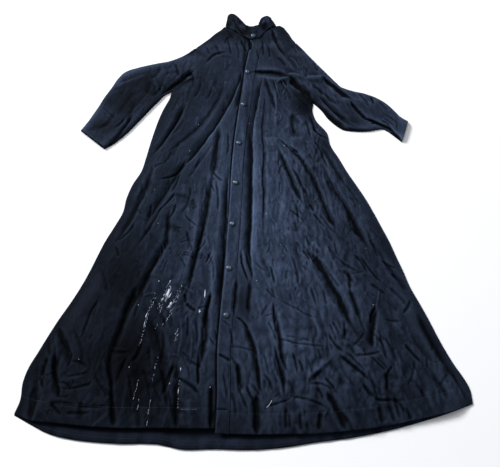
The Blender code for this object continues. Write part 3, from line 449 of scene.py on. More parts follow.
# Splashes of dried paint: each streak is one solid fleck, or many thin ones along its line.
STREAKS = rows_of(
    Streak,
    # The solid splashes, each one fleck.
    (-225, -300, -242, -354, 9, 1), (-222, -322, -233, -342, 5, 1), (-219, -350, -226, -362, 10, 1),
    (-224, -360, -232, -368, 6, 1), (-119, -312, -121, -343, 4.2, 1),
    (-134, -375, -136, -386, 5.5, 1), (-246, -338, -252, -348, 4, 1),
    (-243, -325, -247, -333, 3, 1), (-293, -384, -297, -402, 3.0, 1),
    (-298, -410, -300, -430, 2.2, 1), (-262, -284, -264, -288, 3.2, 1),
    (-228, -282, -231, -291, 2.4, 1), (-184, -545, -185, -556, 3, 1),
    (-189, -606, -190, -622, 2.2, 1), (-321, -358, -324, -361, 2.4, 1),
    (-203, -446, -206, -450, 2.4, 1), (-96, -600, -99, -603, 2.0, 1),
    (-214, -588, -217, -594, 2.4, 1),
    # The feathery spray, in many thin flecks.
    (-228, -284, -242, -330, 13, 14), (-240, -320, -262, -376, 9, 13),
    (-270, -336, -286, -374, 5, 7), (-286, -366, -295, -410, 4.5, 9),
    (-295, -404, -301, -452, 4, 8), (-300, -448, -311, -484, 5, 6), (-194, -300, -212, -352, 9, 9),
    (-214, -344, -234, -372, 9, 14), (-216, -370, -232, -404, 7, 9), (-230, -398, -248, -424, 6, 7),
    (-250, -356, -254, -382, 5, 8), (-272, -320, -284, -352, 5, 6), (-196, -432, -206, -470, 7, 8),
    (-202, -330, -206, -342, 12, 5), (-262, -420, -266, -436, 5, 3), (-252, -516, -262, -556, 3, 4),
    (-306, -578, -316, -636, 3.5, 9), (-187, -580, -190, -660, 4, 12),
    (-300, -630, -304, -668, 4, 5), (-268, -632, -272, -676, 4, 8), (-270, -690, -272, -706, 4, 4),
    (-262, -566, -264, -584, 4, 3), (-334, -542, -335, -548, 2, 1),
)

Speck = namedtuple("Speck", "x y size colour")
SPECKS = rows_of(
    Speck,
    (260, 525, 4.5, "pale"), (-187, 171, 4.0, "pink"), (-160, 274, 2.5, "pale"),
    (70, -60, 3.5, "pale"), (-278, -93, 3.0, "pale"), (38, -284, 3.0, "pale"),
    (392, -360, 3.0, "pale"), (114, -166, 2.5, "pale"), (-296, 25, 2.5, "pale"),
    (-484, -522, 2.5, "pale"), (16, 282, 2.5, "pale"), (-66, -548, 3.0, "pale"),
    (134, 190, 3.0, "pale"), (-72, 446, 2.5, "pale"), (384, -178, 2.5, "pale"),
)
LINT_CLOTHS = ("front_left_cloth", "front_right_cloth", "sleeve_left_cloth")

# Slack waves of the back's hem strip, which shows below the fronts.
BACK_WAVES = rows_of(
    Fold,
    (-430, -700, -432, -760, 0, -4.5, 14, 16), (-320, -700, -322, -770, 0, -4, 14, 12),
    (-205, -700, -198, -775, 0, -5, 16, 14), (-100, -700, -104, -780, 0, -4, 18, 14),
    (-50, -700, -52, -780, 0, -3.5, 10, 12), (34, -700, 30, -785, 0, -5, 14, 10),
    (60, -700, 64, -780, 0, 3, 16, 18), (156, -700, 158, -775, 0, -4, 8, 10),
    (264, -700, 276, -750, 0, -5, 8, 10), (-270, -700, -268, -770, 0, 3, 18, 16),
    (-380, -700, -384, -770, 0, 3, 18, 20), (-520, -700, -512, -745, 0, 2.5, 16, 16),
    (100, -700, 104, -775, 0, 2.5, 18, 16), (-150, -700, -150, -780, 0, 2.5, 18, 18),
)

# Small creases that chance lays on top: how rare they are outside the crushed places and how far
# they stay from the placket, how much they swerve from the skirt's fan and what share follows
# it, then their shortest length, bow, height and half width, with what chance adds to each.
Habit = namedtuple(
    "Habit", "rarity clear swerve follow short longer bow low higher ridges narrow wider")
SMALL = Habit(1.3, 60.0, 0.22, 0.87, 16.0, 50.0, 0.08, 0.5, 1.9, 0.35, 3.2, 5.0)
FACETED = Habit(1.1, 90.0, 0.25, 0.90, 45.0, 90.0, 0.06, 1.0, 2.4, 0.5, 6.0, 22.0)
CROSS_SWERVE = 1.2          # of those that run across the fan
FAN_X, FAN_Y = 10.0, 1150.0  # the skirt's crumples fan out from here
PLACKET_MIDDLE = 30.0       # what the strewn creases stay clear of, from the placket's edge

# Grids of the finished cloth, in millimetres and counts.
NOSE_STEPS = (0.0, 0.7, 1.8, 3.6, 6.5)  # distances in from a side seam where its rolled edge bends
NOSE_REACH = 6.5
TUBE_NOSE = 1.4             # a sleeve's rolled edge is wider by this
BODY_ROWS = 440
RIGHT_COLUMNS = 186
LEFT_COLUMNS = 174
LAP_COLUMNS = 14
COARSE = 3                  # the hidden undersides keep every third row and column
FINE_EDGE = 6               # but all of the first and last few columns
BACK_COLUMNS = 96
BACK_ROWS = 190
SLEEVE_STEP = 0.075         # sections of the sleeve's table between two rings
OVER_PLACES = 54
UNDER_PLACES = 16
CUFF_RINGS = 22
CUFF_LAP = 0.06             # sections that a cuff runs up over its sleeve
CUFF_LIFT = 1.3
COLLAR_AROUND = 220
COLLAR_UP = 12
COLLAR_HEIGHT = 45.0
TUCK = 3.0                  # how far a sleeve's end runs under the body's edge
REST = 0.05                 # least gap that finished layers keep
LEAST_TOP = 2.4             # how low a front's top may sink where it lies on the back
GROOVE_DEPTH = 3.0          # the right front's sink where it runs in under the placket
# Painted shade: the right front's cloth beside the placket's edge is coloured darker there.
GROOVE_PAINTED_SHADE = -1.3          # how much darker it is there
# Painted highlight: the placket's free edge is coloured paler.
EDGE_PAINTED_LIGHT = 0.7             # how much paler the placket's free edge is
NECK_LAP = 8.0              # what is left of the left front's lap at the neck
SEAM_DEPTH, SEAM_REACH = 1.2, 7.0  # the valley along an armhole
CUFF_WALL = 1.15            # a cuff's cloth, in thicknesses of the body's
BACK_HEM = 15.0             # the back hem's stitching, up from its edge
HEM_CLEAR = 6.0             # how far a stitch stays from the front's hem above it
ARMHOLE_SEAM = 7.5          # the armhole's stitching, in from its seam
BAR_ENDS = ((-13.0, -8.0), (8.0, 11.0))  # what shows of a buttonhole on each side of its button
WORN_HEM = (-178.0, -134.0, -662.0)      # from, to and level of the bleached stitches
BUTTON_SIDES = 40
FLECK_SIDES = 9
FLOOR_DROP = 0.3            # keeps the floor from flickering through the cloth's underside

# Pitch, length and width of the buttonholes' bars and of the loose thread's twist, in metres.
BAR_STITCH = (0.0009, 0.0010, 0.0026)
LOOSE_TWIST = (0.0008, 0.0022, 0.0013)

# The stage, in metres.
TARGET = Vector((0.0176, -0.122, 0.0))
KEY_PLACE, KEY_SIZE = (-7.4, 5.8, 6.7), 3.5
OVERHEAD_PLACE, OVERHEAD_SIZE = (-0.1, 1.1, 2.9), 1.2
FLOOR_REACH = 20.0

Surface = namedtuple("Surface", "points cloth_map")


def linear(code):
    """Turn an sRGB hex colour into the linear colour that a material takes."""
    channels = [int(code[start:start + 2], 16) / 255 for start in (1, 3, 5)]
    return tuple(c / 12.92 if c <= 0.04045 else ((c + 0.055) / 1.055) ** 2.4 for c in channels)


def colour(name, description, code):
    return bpy.props.FloatVectorProperty(
        name=name, description=description, default=linear(code), size=3, min=0.0, max=1.0,
        subtype="COLOR")


def number(name, description, default, least, most, **kind):
    return bpy.props.FloatProperty(
        name=name, description=description, default=default, min=least, max=most, **kind)


def length(*details):
    return number(*details, unit="LENGTH")


class CassockCloth(bpy.types.PropertyGroup):
    """Sizes and colours of the cloth."""

    thickness: length(
        "Cloth Thickness", "Thickness of one layer of the cotton drill", 0.0009, 0.0004, 0.0015)
    collar_thickness: length(
        "Collar Thickness", "Thickness of the stiffened collar band", 0.0018, 0.0008, 0.002)
    fold_depth: number(
        "Fold Depth", "How deep the large folds are, as a share of their table",
        1.0, 0.2, 1.3, subtype="FACTOR")
    crease_depth: number(
        "Crease Depth", "How deep the small creases are, as a share of their table",
        1.0, 0.0, 1.5, subtype="FACTOR")
    crumple: length(
        "Crumple Height", "Height of the fine crumples where cloth was handled", 0.0022, 0.0, 0.005)
    hem_turn: length("Hem Turn-Up", "Depth of the turned and sewn hem", 0.055, 0.02, 0.08)
    # The dyed cloth, then the painted light on ridges and the painted shade in creases that the
    # cloth's colour ramp runs to.
    dyed: colour("Cloth", "The dyed cloth where it is neither worn nor dirty", "#2a3447")
    faded: colour("Faded Cloth", "Ridges and places that sun and wear have paled", "#44516a")
    deep: colour("Deep Cloth", "Unfaded dye down in the creases", "#05070b")


class CassockSewing(bpy.types.PropertyGroup):
    """Sizes and colours of the sewing and the buttons."""

    pitch: length("Stitch Pitch", "Distance from one stitch to the next", 0.006, 0.002, 0.02)
    length: length(
        "Stitch Length", "Length of thread that shows in one stitch", 0.0042, 0.001, 0.015)
    thread: length("Thread Width", "Width of the sewing thread", 0.0008, 0.0002, 0.002)
    margin: length(
        "Edge Margin", "Distance of an edge's topstitching from that edge", 0.004, 0.001, 0.01)
    button_radius: length("Button Radius", "Radius of one button", 0.0095, 0.005, 0.012)
    button_height: length(
        "Button Height", "Height of one button over the cloth", 0.0046, 0.002, 0.007)
    thread_colour: colour("Thread", "Cotton sewing thread", "#222a39")
    worn_thread_colour: colour(
        "Worn Thread", "Bleached thread in the worn stretch of hem", "#77839a")
    button_colour: colour("Buttons", "Cast polyester buttons", "#10141d")
    paint_colour: colour("Dried Paint", "Emulsion paint that dried on the skirt", "#c3cde0")


class CassockStage(bpy.types.PropertyGroup):
    """The floor, the light and the camera."""

    floor_colour: colour("Floor", "Plain pale paper under the garment", "#f4f5f7")
    key_power: number(
        "Key Light", "Power of the soft light from the upper left", 1690.0, 0.0, 6000.0,
        unit="POWER")
    overhead_power: number(
        "Overhead Light", "Power of the soft box over the garment", 24.0, 0.0, 1000.0, unit="POWER")
    fill_strength: number("Fill", "Strength of the even light from all round", 0.3, 0.0, 3.0)
    lens: number("Lens", "Focal length of the camera in millimetres", 38.88, 10.0, 200.0)
    distance: length(
        "Camera Distance", "Distance from the camera to the point that it looks at", 1.74, 0.5, 5.0)
    elevation: number(
        "Camera Elevation", "Angle at which the camera looks down", math.radians(69.4),
        0.0, math.pi / 2, subtype="ANGLE")


class CassockSettings(bpy.types.PropertyGroup):
    """Everything that the cassock's operators read."""

    cloth: bpy.props.PointerProperty(type=CassockCloth, name="Cloth", description="The cloth")
    sewing: bpy.props.PointerProperty(
        type=CassockSewing, name="Sewing", description="The sewing and the buttons")
    stage: bpy.props.PointerProperty(
        type=CassockStage, name="Stage", description="Floor, light and camera")


def settings():
    return bpy.context.scene.cassock


def through(rows, key, value, at):
    """Read a smooth curve through a table: value against key, at the places asked for."""
    keys = np.array([getattr(row, key) for row in rows], float)
    values = np.array([getattr(row, value) for row in rows], float)
    return glide(keys, values, at)


def glide(keys, values, at):
    """A smooth curve through values at keys, read at the places asked for."""
    slopes = np.gradient(values, keys)
    at = np.clip(np.asarray(at, float), keys[0], keys[-1])
    index = np.clip(np.searchsorted(keys, at) - 1, 0, len(keys) - 2)
    span = keys[index + 1] - keys[index]
    t = (at - keys[index]) / span
    start = (1 + 2 * t) * (1 - t) ** 2 * values[index] + t * (1 - t) ** 2 * span * slopes[index]
    end = t * t * (3 - 2 * t) * values[index + 1] - t * t * (1 - t) * span * slopes[index + 1]
    return start + end


def columns_at(table, numbers):
    """Smooth curves through a table's columns, read at fractional row numbers."""
    keys = np.arange(len(table), dtype=float)
    return np.stack([glide(keys, column, numbers) for column in np.array(table, float).T], axis=-1)


def ease(value):
    """A smooth step from 0 to 1."""
    value = np.clip(value, 0.0, 1.0)
    return value * value * (3.0 - 2.0 * value)


def fold_height(x, y, folds, sharp, point=2.0):
    """Sum a table's ridges and troughs; sharp ones have a crease along their middle. Their sides
    are flat facets where point is 1 and hollow ones where it is more."""
    x, y = np.broadcast_arrays(np.asarray(x, float), y)
    total = np.zeros(x.shape)
    for fold in folds:
        margin = max(fold.before, fold.after) + abs(fold.bow)
        near = ((x > min(fold.x0, fold.x1) - margin) & (x < max(fold.x0, fold.x1) + margin)
                & (y > min(fold.y0, fold.y1) - margin) & (y < max(fold.y0, fold.y1) + margin))
        if not near.any():
            continue
        from_x, from_y = x[near] - fold.x0, y[near] - fold.y0
        run_x, run_y = fold.x1 - fold.x0, fold.y1 - fold.y0
        run = math.hypot(run_x, run_y)
        along = (from_x * run_x + from_y * run_y) / run ** 2
        across = (from_y * run_x - from_x * run_y) / run - 4.0 * fold.bow * along * (1.0 - along)
        ends = ease(along / 0.26) * ease((1.0 - along) / 0.26)
        width = np.where(across > 0, fold.before, fold.after) * (0.45 + 0.55 * ends)
        away = np.clip(np.abs(across) / width, 0.0, 1.0)
        form = sharp * (1.0 - away) ** point + (1.0 - sharp) * (1.0 - ease(away))
        total[near] += fold.height * ends * form
    return total


def strewn(count, seed, habit):
    """Creases from handling, closer together where the cloth is crushed, some of them ridges."""
    draw = np.random.RandomState(seed)
    folds = []
    while len(folds) < count:
        x, y = draw.uniform(-640.0, 640.0), draw.uniform(-720.0, 720.0)
        if (draw.rand() * habit.rarity > BASE_CRUMPLE + patches(x, y, CRUSHED)
                or abs(x - placket_x(y) - PLACKET_MIDDLE) < habit.clear):
            continue
        swerve = habit.swerve if draw.rand() < habit.follow else CROSS_SWERVE
        turn = math.atan2(y - FAN_Y, x - FAN_X) + swerve * draw.randn()
        run = habit.short + habit.longer * draw.rand() ** 2
        half_x, half_y = math.cos(turn) * run / 2, math.sin(turn) * run / 2
        height = habit.low + habit.higher * draw.rand()
        height *= 1.0 if draw.rand() < habit.ridges else -1.0
        bow = run * habit.bow * draw.randn()
        widths = [habit.narrow + habit.wider * draw.rand() for _ in range(2)]
        folds.append(Fold(x - half_x, y - half_y, x + half_x, y + half_y, bow, height, *widths))
    return tuple(folds)


def rumple(x, y, seed):
    """Smooth noise around 0 on a unit lattice, the same for the same seed."""
    turns = np.random.RandomState(seed).rand(128, 128) * math.tau
    column = np.floor(x).astype(int)
    row = np.floor(y).astype(int)
    u = x - column
    v = y - row
    total = np.zeros(np.broadcast(x, y).shape)
    for right in (0, 1):
        for up in (0, 1):
            turn = turns[(row + up) % 128, (column + right) % 128]
            slope = np.cos(turn) * (u - right) + np.sin(turn) * (v - up)
            total += slope * ease(1.0 - np.abs(u - right)) * ease(1.0 - np.abs(v - up))
    return total


def shaken(x, y):
    """Where the drawn folds and creases really run: a few millimetres off, now here, now there."""
    return (x + rumple(x / 90.0, y / 110.0, 51) * 9.0 + rumple(x / 22.0, y / 30.0, 52) * 2.4,
            y + rumple(x / 110.0, y / 90.0, 53) * 9.0 + rumple(x / 30.0, y / 22.0, 54) * 2.4)


def patches(x, y, table):
    """Sum a table's soft patches at the given places."""
    total = np.zeros(np.broadcast(x, y).shape)
    for patch in table:
        away = ((x - patch.x) / patch.reach_x) ** 2 + ((y - patch.y) / patch.reach_y) ** 2
        total += patch.amount * np.exp(-away)
    return total


def tone_at(x, y):
    """How much paler or darker each place is painted, in patches and crease bands that are mostly
    painted light and painted shade, beside what its height does to it.
    """
    return BASE_TONE + patches(x, y, TONES) + fold_height(*shaken(x, y), PAINTED_CREASE_SHADE, 0.0)


def crumple_height(x, y):
    """Fine crumples in shares of the crumple height: sharp creases between smooth facets. Each
    one's two numbers are its size across the skirt's fan and down it."""
    turn = np.arctan2(x - FAN_X, FAN_Y - y)
    reach = np.hypot(x - FAN_X, FAN_Y - y)
    across = turn * 1400.0
    wander = rumple(across / 60.0, reach / 110.0, 11) * 26.0
    swell = rumple((across + wander) / 74.0, reach / 190.0, 12)
    folds = np.abs(rumple((across + wander) / 34.0, reach / 88.0, 13))
    chips = np.abs(rumple((across - wander) / 19.0, (reach + wander) / 37.0, 14))
    crossing = np.abs(rumple((across + 0.8 * reach) / 46.0, (reach - 0.6 * across) / 60.0, 15))
    here = BASE_CRUMPLE + patches(x, y, CRUSHED)
    return here * (1.1 * swell + 1.8 * (folds - 0.2) + 1.1 * (chips - 0.2) + 0.8 * (crossing - 0.2))


def placket_x(y):
    return through(PLACKET_EDGE, "y", "x", y)


STREWN = strewn(800, 61, SMALL)
FACETS = strewn(190, 62, FACETED)


def relief(x, y):
    """Folds, small creases and crumples together, in millimetres."""
    cloth = settings().cloth
    at_x, at_y = shaken(x, y)
    return (fold_height(at_x, at_y, FOLDS, 0.85, 1.25) * cloth.fold_depth
            + fold_height(at_x, at_y, CREASES + STREWN, 0.9, 1.5) * cloth.crease_depth
            + fold_height(at_x, at_y, FACETS, 0.95, 1.15) * cloth.crease_depth
            + crumple_height(x, y) * cloth.crumple / MM)


def bend_to_hem(x, y, hem):
    """Lower or lift the bottom rows so that the last one follows its hem."""
    share = ease(1.0 - (y - HEM_LEVEL) / HEM_BEND)
    return y + share * (through(HEMS, "x", hem, x) - HEM_LEVEL)


def bend_to_neck(x, y):
    """Lift or lower the top rows so that the last one follows the shoulders and the neck."""
    share = ease((y - NECK_BEND_FROM) / (TOP_LEVEL - NECK_BEND_FROM))
    return y + share * (through(NECK_TOP, "x", "y", x) - TOP_LEVEL)


def up_from_hem(x, y, hem):
    """Height over a hem's own edge."""
    return bend_to_hem(x, y, hem) - through(HEMS, "x", hem, x)


def arm_level(row):
    return ARMPIT_LEVEL + ARM_ROW * row


def armhole_lift(y, armhole):
    """Along an armhole the cloth stays up, because the sleeve carries on from it."""
    low, high = arm_level(armhole[0]), arm_level(armhole[1])
    return np.clip(np.minimum(y - low, high - y) / SIDE_RISE, 0.0, 1.0)


def from_sides(x, y):
    """How far in from the right and the left side each place is, each with its armhole."""
    return ((x - through(BODY, "y", "right_side", y), RIGHT_ARMHOLE),
            (through(BODY, "y", "left_side", y) - x, LEFT_ARMHOLE))


def side_lift(x, y):
    """How far a front has risen from its side seam, 0 at the seam and 1 at its crown."""
    lift = np.inf
    for inside, armhole in from_sides(x, y):
        lift = np.minimum(lift, np.maximum(inside / SIDE_RISE, armhole_lift(y, armhole)))
    for neck_x, neck_y in NECK_POINTS:
        lift = np.minimum(lift, np.hypot(x - neck_x, y - neck_y) / NECK_RISE)
    return ease(lift)


def soft_floor(level, least):
    """Keep a level above a least one, with a round bend where it meets it."""
    over = level - least
    return least + 0.5 * (over + np.sqrt(over * over + 1.5))


def round_over(inside, reach):
    """0 inside an edge and 1 on it, along a quarter circle as wide as the reach."""
    away = np.clip(1.0 - inside / reach, 0.0, 1.0)
    return 1.0 - np.sqrt(np.maximum(1.0 - away * away, 0.0))


def front_level(x, y, hem):
    """Underside of a front's full wall above the floor, before the lap."""
    lift = side_lift(x, y)
    crown = CROWN - (CROWN - NECK_CROWN) * ease((y - NECK_BEND_FROM + NECK_EASE) / NECK_EASE)
    level = WALL + GAP + lift * (crown - WALL - GAP)
    level += relief(x, bend_to_hem(x, y, hem)) * (0.25 + 0.75 * lift)
    middle = np.abs(x - placket_x(y) - PLACKET_WIDTH / 2)
    lapped = ease((LAP_EASE + PLACKET_WIDTH / 2 - middle) / LAP_EASE)
    return soft_floor(level, WALL + 2 * GAP + lapped * LAP_DROP)


def rolled_edge(x, y):
    """How far the top of a front sinks at a side seam, where front and back are turned together."""
    sink = np.zeros(np.broadcast(x, y).shape)
    for inside, armhole in from_sides(x, y):
        open_seam = 1.0 - ease(armhole_lift(y, armhole) * 4.0)
        sink = np.maximum(sink, open_seam * round_over(inside, NOSE_REACH))
    return sink


def seam_dip(x, y):
    """The little valley where a front is sewn to its sleeve."""
    dip = np.zeros(np.broadcast(x, y).shape)
    for inside, armhole in from_sides(x, y):
        dip += ease(armhole_lift(y, armhole) * 3.0) * (1.0 - ease(inside / SEAM_REACH))
    return dip * SEAM_DEPTH


def turned_hem(x, y, hem):
    """The turn-up's extra thickness, the puckers along its stitching and its slack edge."""
    up = up_from_hem(x, y, hem)
    turn = settings().cloth.hem_turn / MM
    thick = 0.7 * (1.0 - ease((up - turn + 2.0) / 5.0))
    pucker = rumple(x / 13.0, y / 500.0, 21) * np.exp(-((up - turn) / 9.0) ** 2)
    waves = rumple(x / 34.0, y / 900.0, 22) * np.exp(-(up / 55.0) ** 2)
    return thick + 1.5 * pucker + 2.4 * waves


def front_top(x, y, hem):
    """Upper face of a front's cloth, before the lap."""
    level = front_level(x, y, hem) + WALL + turned_hem(x, y, hem) * side_lift(x, y)
    sunk = rolled_edge(x, y)
    return level * (1.0 - sunk) + WALL * sunk - seam_dip(x, y)


def body_rows(count):
    return np.linspace(HEM_LEVEL, TOP_LEVEL, count)


def edge_x(neck, rows, below):
    """A front's inner edge: its neckline over the neck's level, and the given one below it."""
    over = np.interp(rows, [row.y for row in neck], [row.x for row in neck])
    return np.where(rows > NECK_BEND_FROM, over, below)


def bent_surface(x, y, z, hem):
    """Points over flat rows and columns, bent to the hem and the neck, with their cloth map."""
    points = np.stack([x, bend_to_neck(x, bend_to_hem(x, y, hem)), z], axis=-1)
    return Surface(points, np.stack([x, y], axis=-1))


def lap_groove(x, y):
    """1 where the right front runs in under the placket's edge, fading out beside it."""
    beside = placket_x(y) - x
    return (1.0 - ease(beside / 9.0)) * ease(1.0 + beside / 12.0)


def front_right_surface():
    """Upper face of the right front: columns from the side seam to its edge under the placket."""
    rows = body_rows(BODY_ROWS)
    side = through(BODY, "y", "right_side", rows)
    edge = edge_x(RIGHT_NECK, rows, placket_x(rows) + PLACKET_WIDTH)
    nose = side[:, None] + np.array(NOSE_STEPS)
    rest = np.linspace(side + NOSE_STEPS[-1], edge, RIGHT_COLUMNS, axis=1)[:, 1:]
    x = np.concatenate([nose, rest], axis=1)
    y = np.repeat(rows[:, None], x.shape[1], axis=1)
    z = front_top(x, y, "right")
    z -= ease((x - placket_x(y) + LAP_EASE) / LAP_EASE) * LAP_DROP
    z = np.maximum(z - lap_groove(x, y) * GROOVE_DEPTH, np.minimum(z, LEAST_TOP))
    return bent_surface(x, y, z, "right")


def front_left_surface():
    """Upper face of the left front: columns from the placket's edge to the side seam."""
    rows = body_rows(BODY_ROWS)
    side = through(BODY, "y", "left_side", rows)
    edge = edge_x(LEFT_NECK, rows, placket_x(rows))
    narrow = ease((rows - NECK_BEND_FROM) / (TOP_LEVEL - NECK_BEND_FROM))
    lap_end = edge + PLACKET_WIDTH * (1.0 - narrow) + NECK_LAP * narrow
    lap = np.linspace(edge, lap_end, LAP_COLUMNS, axis=1)
    rest = np.linspace(lap[:, -1], side - NOSE_STEPS[-1], LEFT_COLUMNS, axis=1)[:, 1:]
    nose = side[:, None] - np.array(NOSE_STEPS[:-1])[::-1]
    x = np.concatenate([lap, rest, nose], axis=1)
    y = np.repeat(rows[:, None], x.shape[1], axis=1)
    return bent_surface(x, y, front_top(x, y, "left"), "left")


def placket_rows():
    """How many of the fronts' rows lie below the neck."""
    return int(np.searchsorted(body_rows(BODY_ROWS), NECK_BEND_FROM + 0.01))


def placket_surface(front):
    """Upper face of the placket band, made from the left front's own points, moved up."""
    rows = placket_rows()
    points = front.points[:rows, :LAP_COLUMNS].copy()
    across = np.linspace(-1.0, 1.0, LAP_COLUMNS)
    rounded = 1.0 - 0.35 * ease((-across - 0.8) / 0.2) - 0.85 * ease((across - 0.45) / 0.55)
    points[..., 2] += 0.15 + BAND_WALL * rounded
    return Surface(points, front.cloth_map[:rows, :LAP_COLUMNS])


def back_surface():
    """Upper face of the back: flat under the fronts, with the hem strip's own slack waves."""
    rows = body_rows(BACK_ROWS)
    side = np.stack([through(BODY, "y", name, rows) for name in ("right_side", "left_side")])
    x = np.linspace(side[0], side[1], BACK_COLUMNS, axis=1)
    y = np.repeat(rows[:, None], BACK_COLUMNS, axis=1)
    up = up_from_hem(x, y, "back")
    width = ease(np.minimum(x - side[0][:, None], side[1][:, None] - x) / 90.0)
    slack = fold_height(x, y, BACK_WAVES, 0.4) + rumple(x / 28.0, up / 60.0, 31) * 2.2
    z = 1.0 + width * (1.0 - ease((up - 22.0) / 22.0)) * np.maximum(3.0 + slack, 0.0)
    return bent_surface(x, y, z, "back")


def tube_places(width):
    """Places across a flattened tube's upper layer, close together where it turns."""
    turn = np.array(NOSE_STEPS) * TUBE_NOSE / width
    middle = np.linspace(turn[-1], 1.0 - turn[-1], OVER_PLACES - 2 * len(turn) + 2)[1:-1]
    return np.concatenate([turn, middle, 1.0 - turn[::-1]])


def tube_top(x, y, edge):
    """Upper face of a sleeve's upper layer, before its armhole and its side folds; edge is the
    distance to the nearer fold."""
    away = np.clip(1.0 - edge / SLEEVE_SIDE, 0.0, 1.0)
    lift = np.sqrt(1.0 - away * away)
    level = WALL + 2 * GAP + lift * (SLEEVE_CROWN - WALL)
    return soft_floor(level + relief(x, y) * lift, WALL + GAP) + WALL


def armhole_shift(table, places, armhole, outward):
    """How far an armhole's curve lies from the straight line between its two ends."""
    rows = arm_level(armhole[1] + places * (armhole[0] - armhole[1]))
    side = through(BODY, "y", "right_side" if outward < 0 else "left_side", rows)
    ends = np.array([table[0][:2], table[0][2:]], float)
    straight = ends[0][:, None] + places * (ends[1] - ends[0])[:, None]
    return side - straight[0], rows - straight[1]


def tube_surface(table, numbers, armhole, outward, rise):
    """Rings of a flattened tube: upper layer, side fold, under layer on the floor, side fold."""
    rings = []
    maps = []
    run = 0.0
    previous = None
    for number, cut in zip(numbers, columns_at(table, numbers)):
        over, under = cut[:2], cut[2:]
        width = math.dist(over, under)
        places = tube_places(width)
        nearer = np.minimum(places, 1.0 - places)
        x, y = over[0] + places * (under[0] - over[0]), over[1] + places * (under[1] - over[1])
        fade = 0.0
        if armhole is not None:
            fade = 1.0 - float(ease(number / ARMHOLE_SECTIONS))
            shift_x, shift_y = armhole_shift(table, places, armhole, outward)
            x, y = x + fade * shift_x, y + fade * shift_y
        top = tube_top(x, y, nearer * width)
        if armhole is not None:
            joined = front_top(x - outward * 4.0, y, "right") - 0.2
            top = top + fade * ease(nearer * 12.0) * (joined - top)
            if number < 0:
                x = x + outward * number * TUCK
                top -= settings().cloth.thickness / MM + REST
        sunk = round_over(nearer * width, NOSE_REACH * TUBE_NOSE)
        top = (top + rise) * (1.0 - sunk) + 1.4 * sunk
        low = np.linspace(1.0, 0.0, UNDER_PLACES + 2)[1:-1]
        low_x, low_y = np.interp(low, places, x), np.interp(low, places, y)
        rings.append(np.concatenate([
            np.stack([x, y, top], axis=-1),
            np.stack([low_x, low_y, np.zeros(len(low))], axis=-1)]))
        middle = (over + under) / 2
        run += 0.0 if previous is None else math.dist(middle, previous)
        previous = middle
        around = np.concatenate([places * width, width + (1.0 - low) * width])
        maps.append(np.stack([around, np.full(len(around), run)], axis=-1))
    return Surface(np.array(rings), np.array(maps))


def inner_rings(outer, wall):
    """The inside of a flattened tube: a wall's thickness below its top and above its floor."""
    inner = outer.copy()
    inner[:, :OVER_PLACES, 2] -= wall
    inner[:, OVER_PLACES:, 2] += wall
    for side, toward in ((0, 3), (OVER_PLACES - 1, OVER_PLACES - 4)):
        inner[:, side] = 0.55 * outer[:, side] + 0.45 * outer[:, toward]
        inner[:, side, 2] = outer[:, side, 2]
    inner[..., 2] = np.maximum(inner[..., 2], wall)
    return inner


def collar_surface():
    """Middle surface of the collar band: a row of points up the band at each step round it."""
    cuts = columns_at(COLLAR, np.linspace(0.0, len(COLLAR) - 1, COLLAR_AROUND))
    seam, top = cuts[:, :3], cuts[:, 3:]
    up = np.linspace(0.0, 1.0, COLLAR_UP)
    points = seam[:, None, :] + up[None, :, None] * (top - seam)[:, None, :]
    steps = np.linalg.norm(np.diff((seam + top) / 2, axis=0), axis=1)
    round_it = np.repeat(np.concatenate([[0.0], np.cumsum(steps)])[:, None], COLLAR_UP, axis=1)
    up_it = up[None, :] * np.linalg.norm(top - seam, axis=1)[:, None]
    sway = rumple(round_it / 24.0, up_it / 40.0, 41) * 2.0
    sway += (np.abs(rumple(round_it / 44.0, (up_it + 0.2 * round_it) / 9.0, 42)) - 0.2) * 3.4
    sway += (np.abs(rumple(round_it / 20.0, up_it / 11.0, 43)) - 0.2) * 1.4
    points = points + grid_normals(points) * sway[..., None]
    return Surface(points, np.stack([round_it, up_it], axis=-1)), sway


def grid_normals(points):
    normal = np.cross(np.gradient(points, axis=1), np.gradient(points, axis=0))
    return normal / np.linalg.norm(normal, axis=-1, keepdims=True)


def blur(field, reach):
    """Soften a grid of heights over a few cells each way."""
    for axis in (0, 1, 0, 1):
        pad = [(0, 0), (0, 0)]
        pad[axis] = (reach + 1, reach)
        total = np.cumsum(np.pad(field, pad, mode="edge"), axis=axis)
        count, window = field.shape[axis], 2 * reach + 1
        high = np.take(total, np.arange(window, window + count), axis=axis)
        low = np.take(total, np.arange(0, count), axis=axis)
        field = (high - low) / window
    return field


def grid_quads(rows, columns, ring):
    """Quads over a grid of points, closed round its columns where it is a ring."""
    index = np.arange(rows * columns).reshape(rows, columns)
    beside = np.roll(index, -1, axis=1)
    if not ring:
        index, beside = index[:, :-1], beside[:, :-1]
    return np.stack([index[:-1], beside[:-1], beside[1:], index[1:]], axis=-1).reshape(-1, 4)


def rim_loop(rows, columns):
    """Indices round the border of a grid, anticlockwise when columns run right and rows up."""
    index = np.arange(rows * columns).reshape(rows, columns)
    return np.concatenate([index[0], index[1:, -1], index[-1, -2::-1], index[-2:0:-1, 0]])


def add_object(name, data):
    """Put a mesh, a lamp or a camera in the scene as an object of its own."""
    made = bpy.data.objects.new(name, data)
    bpy.context.scene.collection.objects.link(made)
    return made


def add_mesh(name, points, faces, material):
    mesh = bpy.data.meshes.new(name)
    mesh.from_pydata((points * MM).tolist(), [], faces)
    mesh.materials.append(material)
    mesh.shade_smooth()
    return add_object(name, mesh)


def add_cloth_maps(piece, cloth_map, crest, tone):
    """Give the cloth its weave's map in metres, and the crest and tone by which its colour is
    painted lighter and darker for light and shade.
    """
    mesh = piece.data
    corners = np.empty(len(mesh.loops), int)
    mesh.loops.foreach_get("vertex_index", corners)
    layer = mesh.uv_layers.new(name="cloth")
    layer.data.foreach_set("uv", (cloth_map[corners] * MM).astype(np.float32).ravel())
    for name, values in (("crest", crest), ("tone", tone)):
        field = mesh.attributes.new(name, "FLOAT", "POINT")
        field.data.foreach_set("value", values.astype(np.float32))


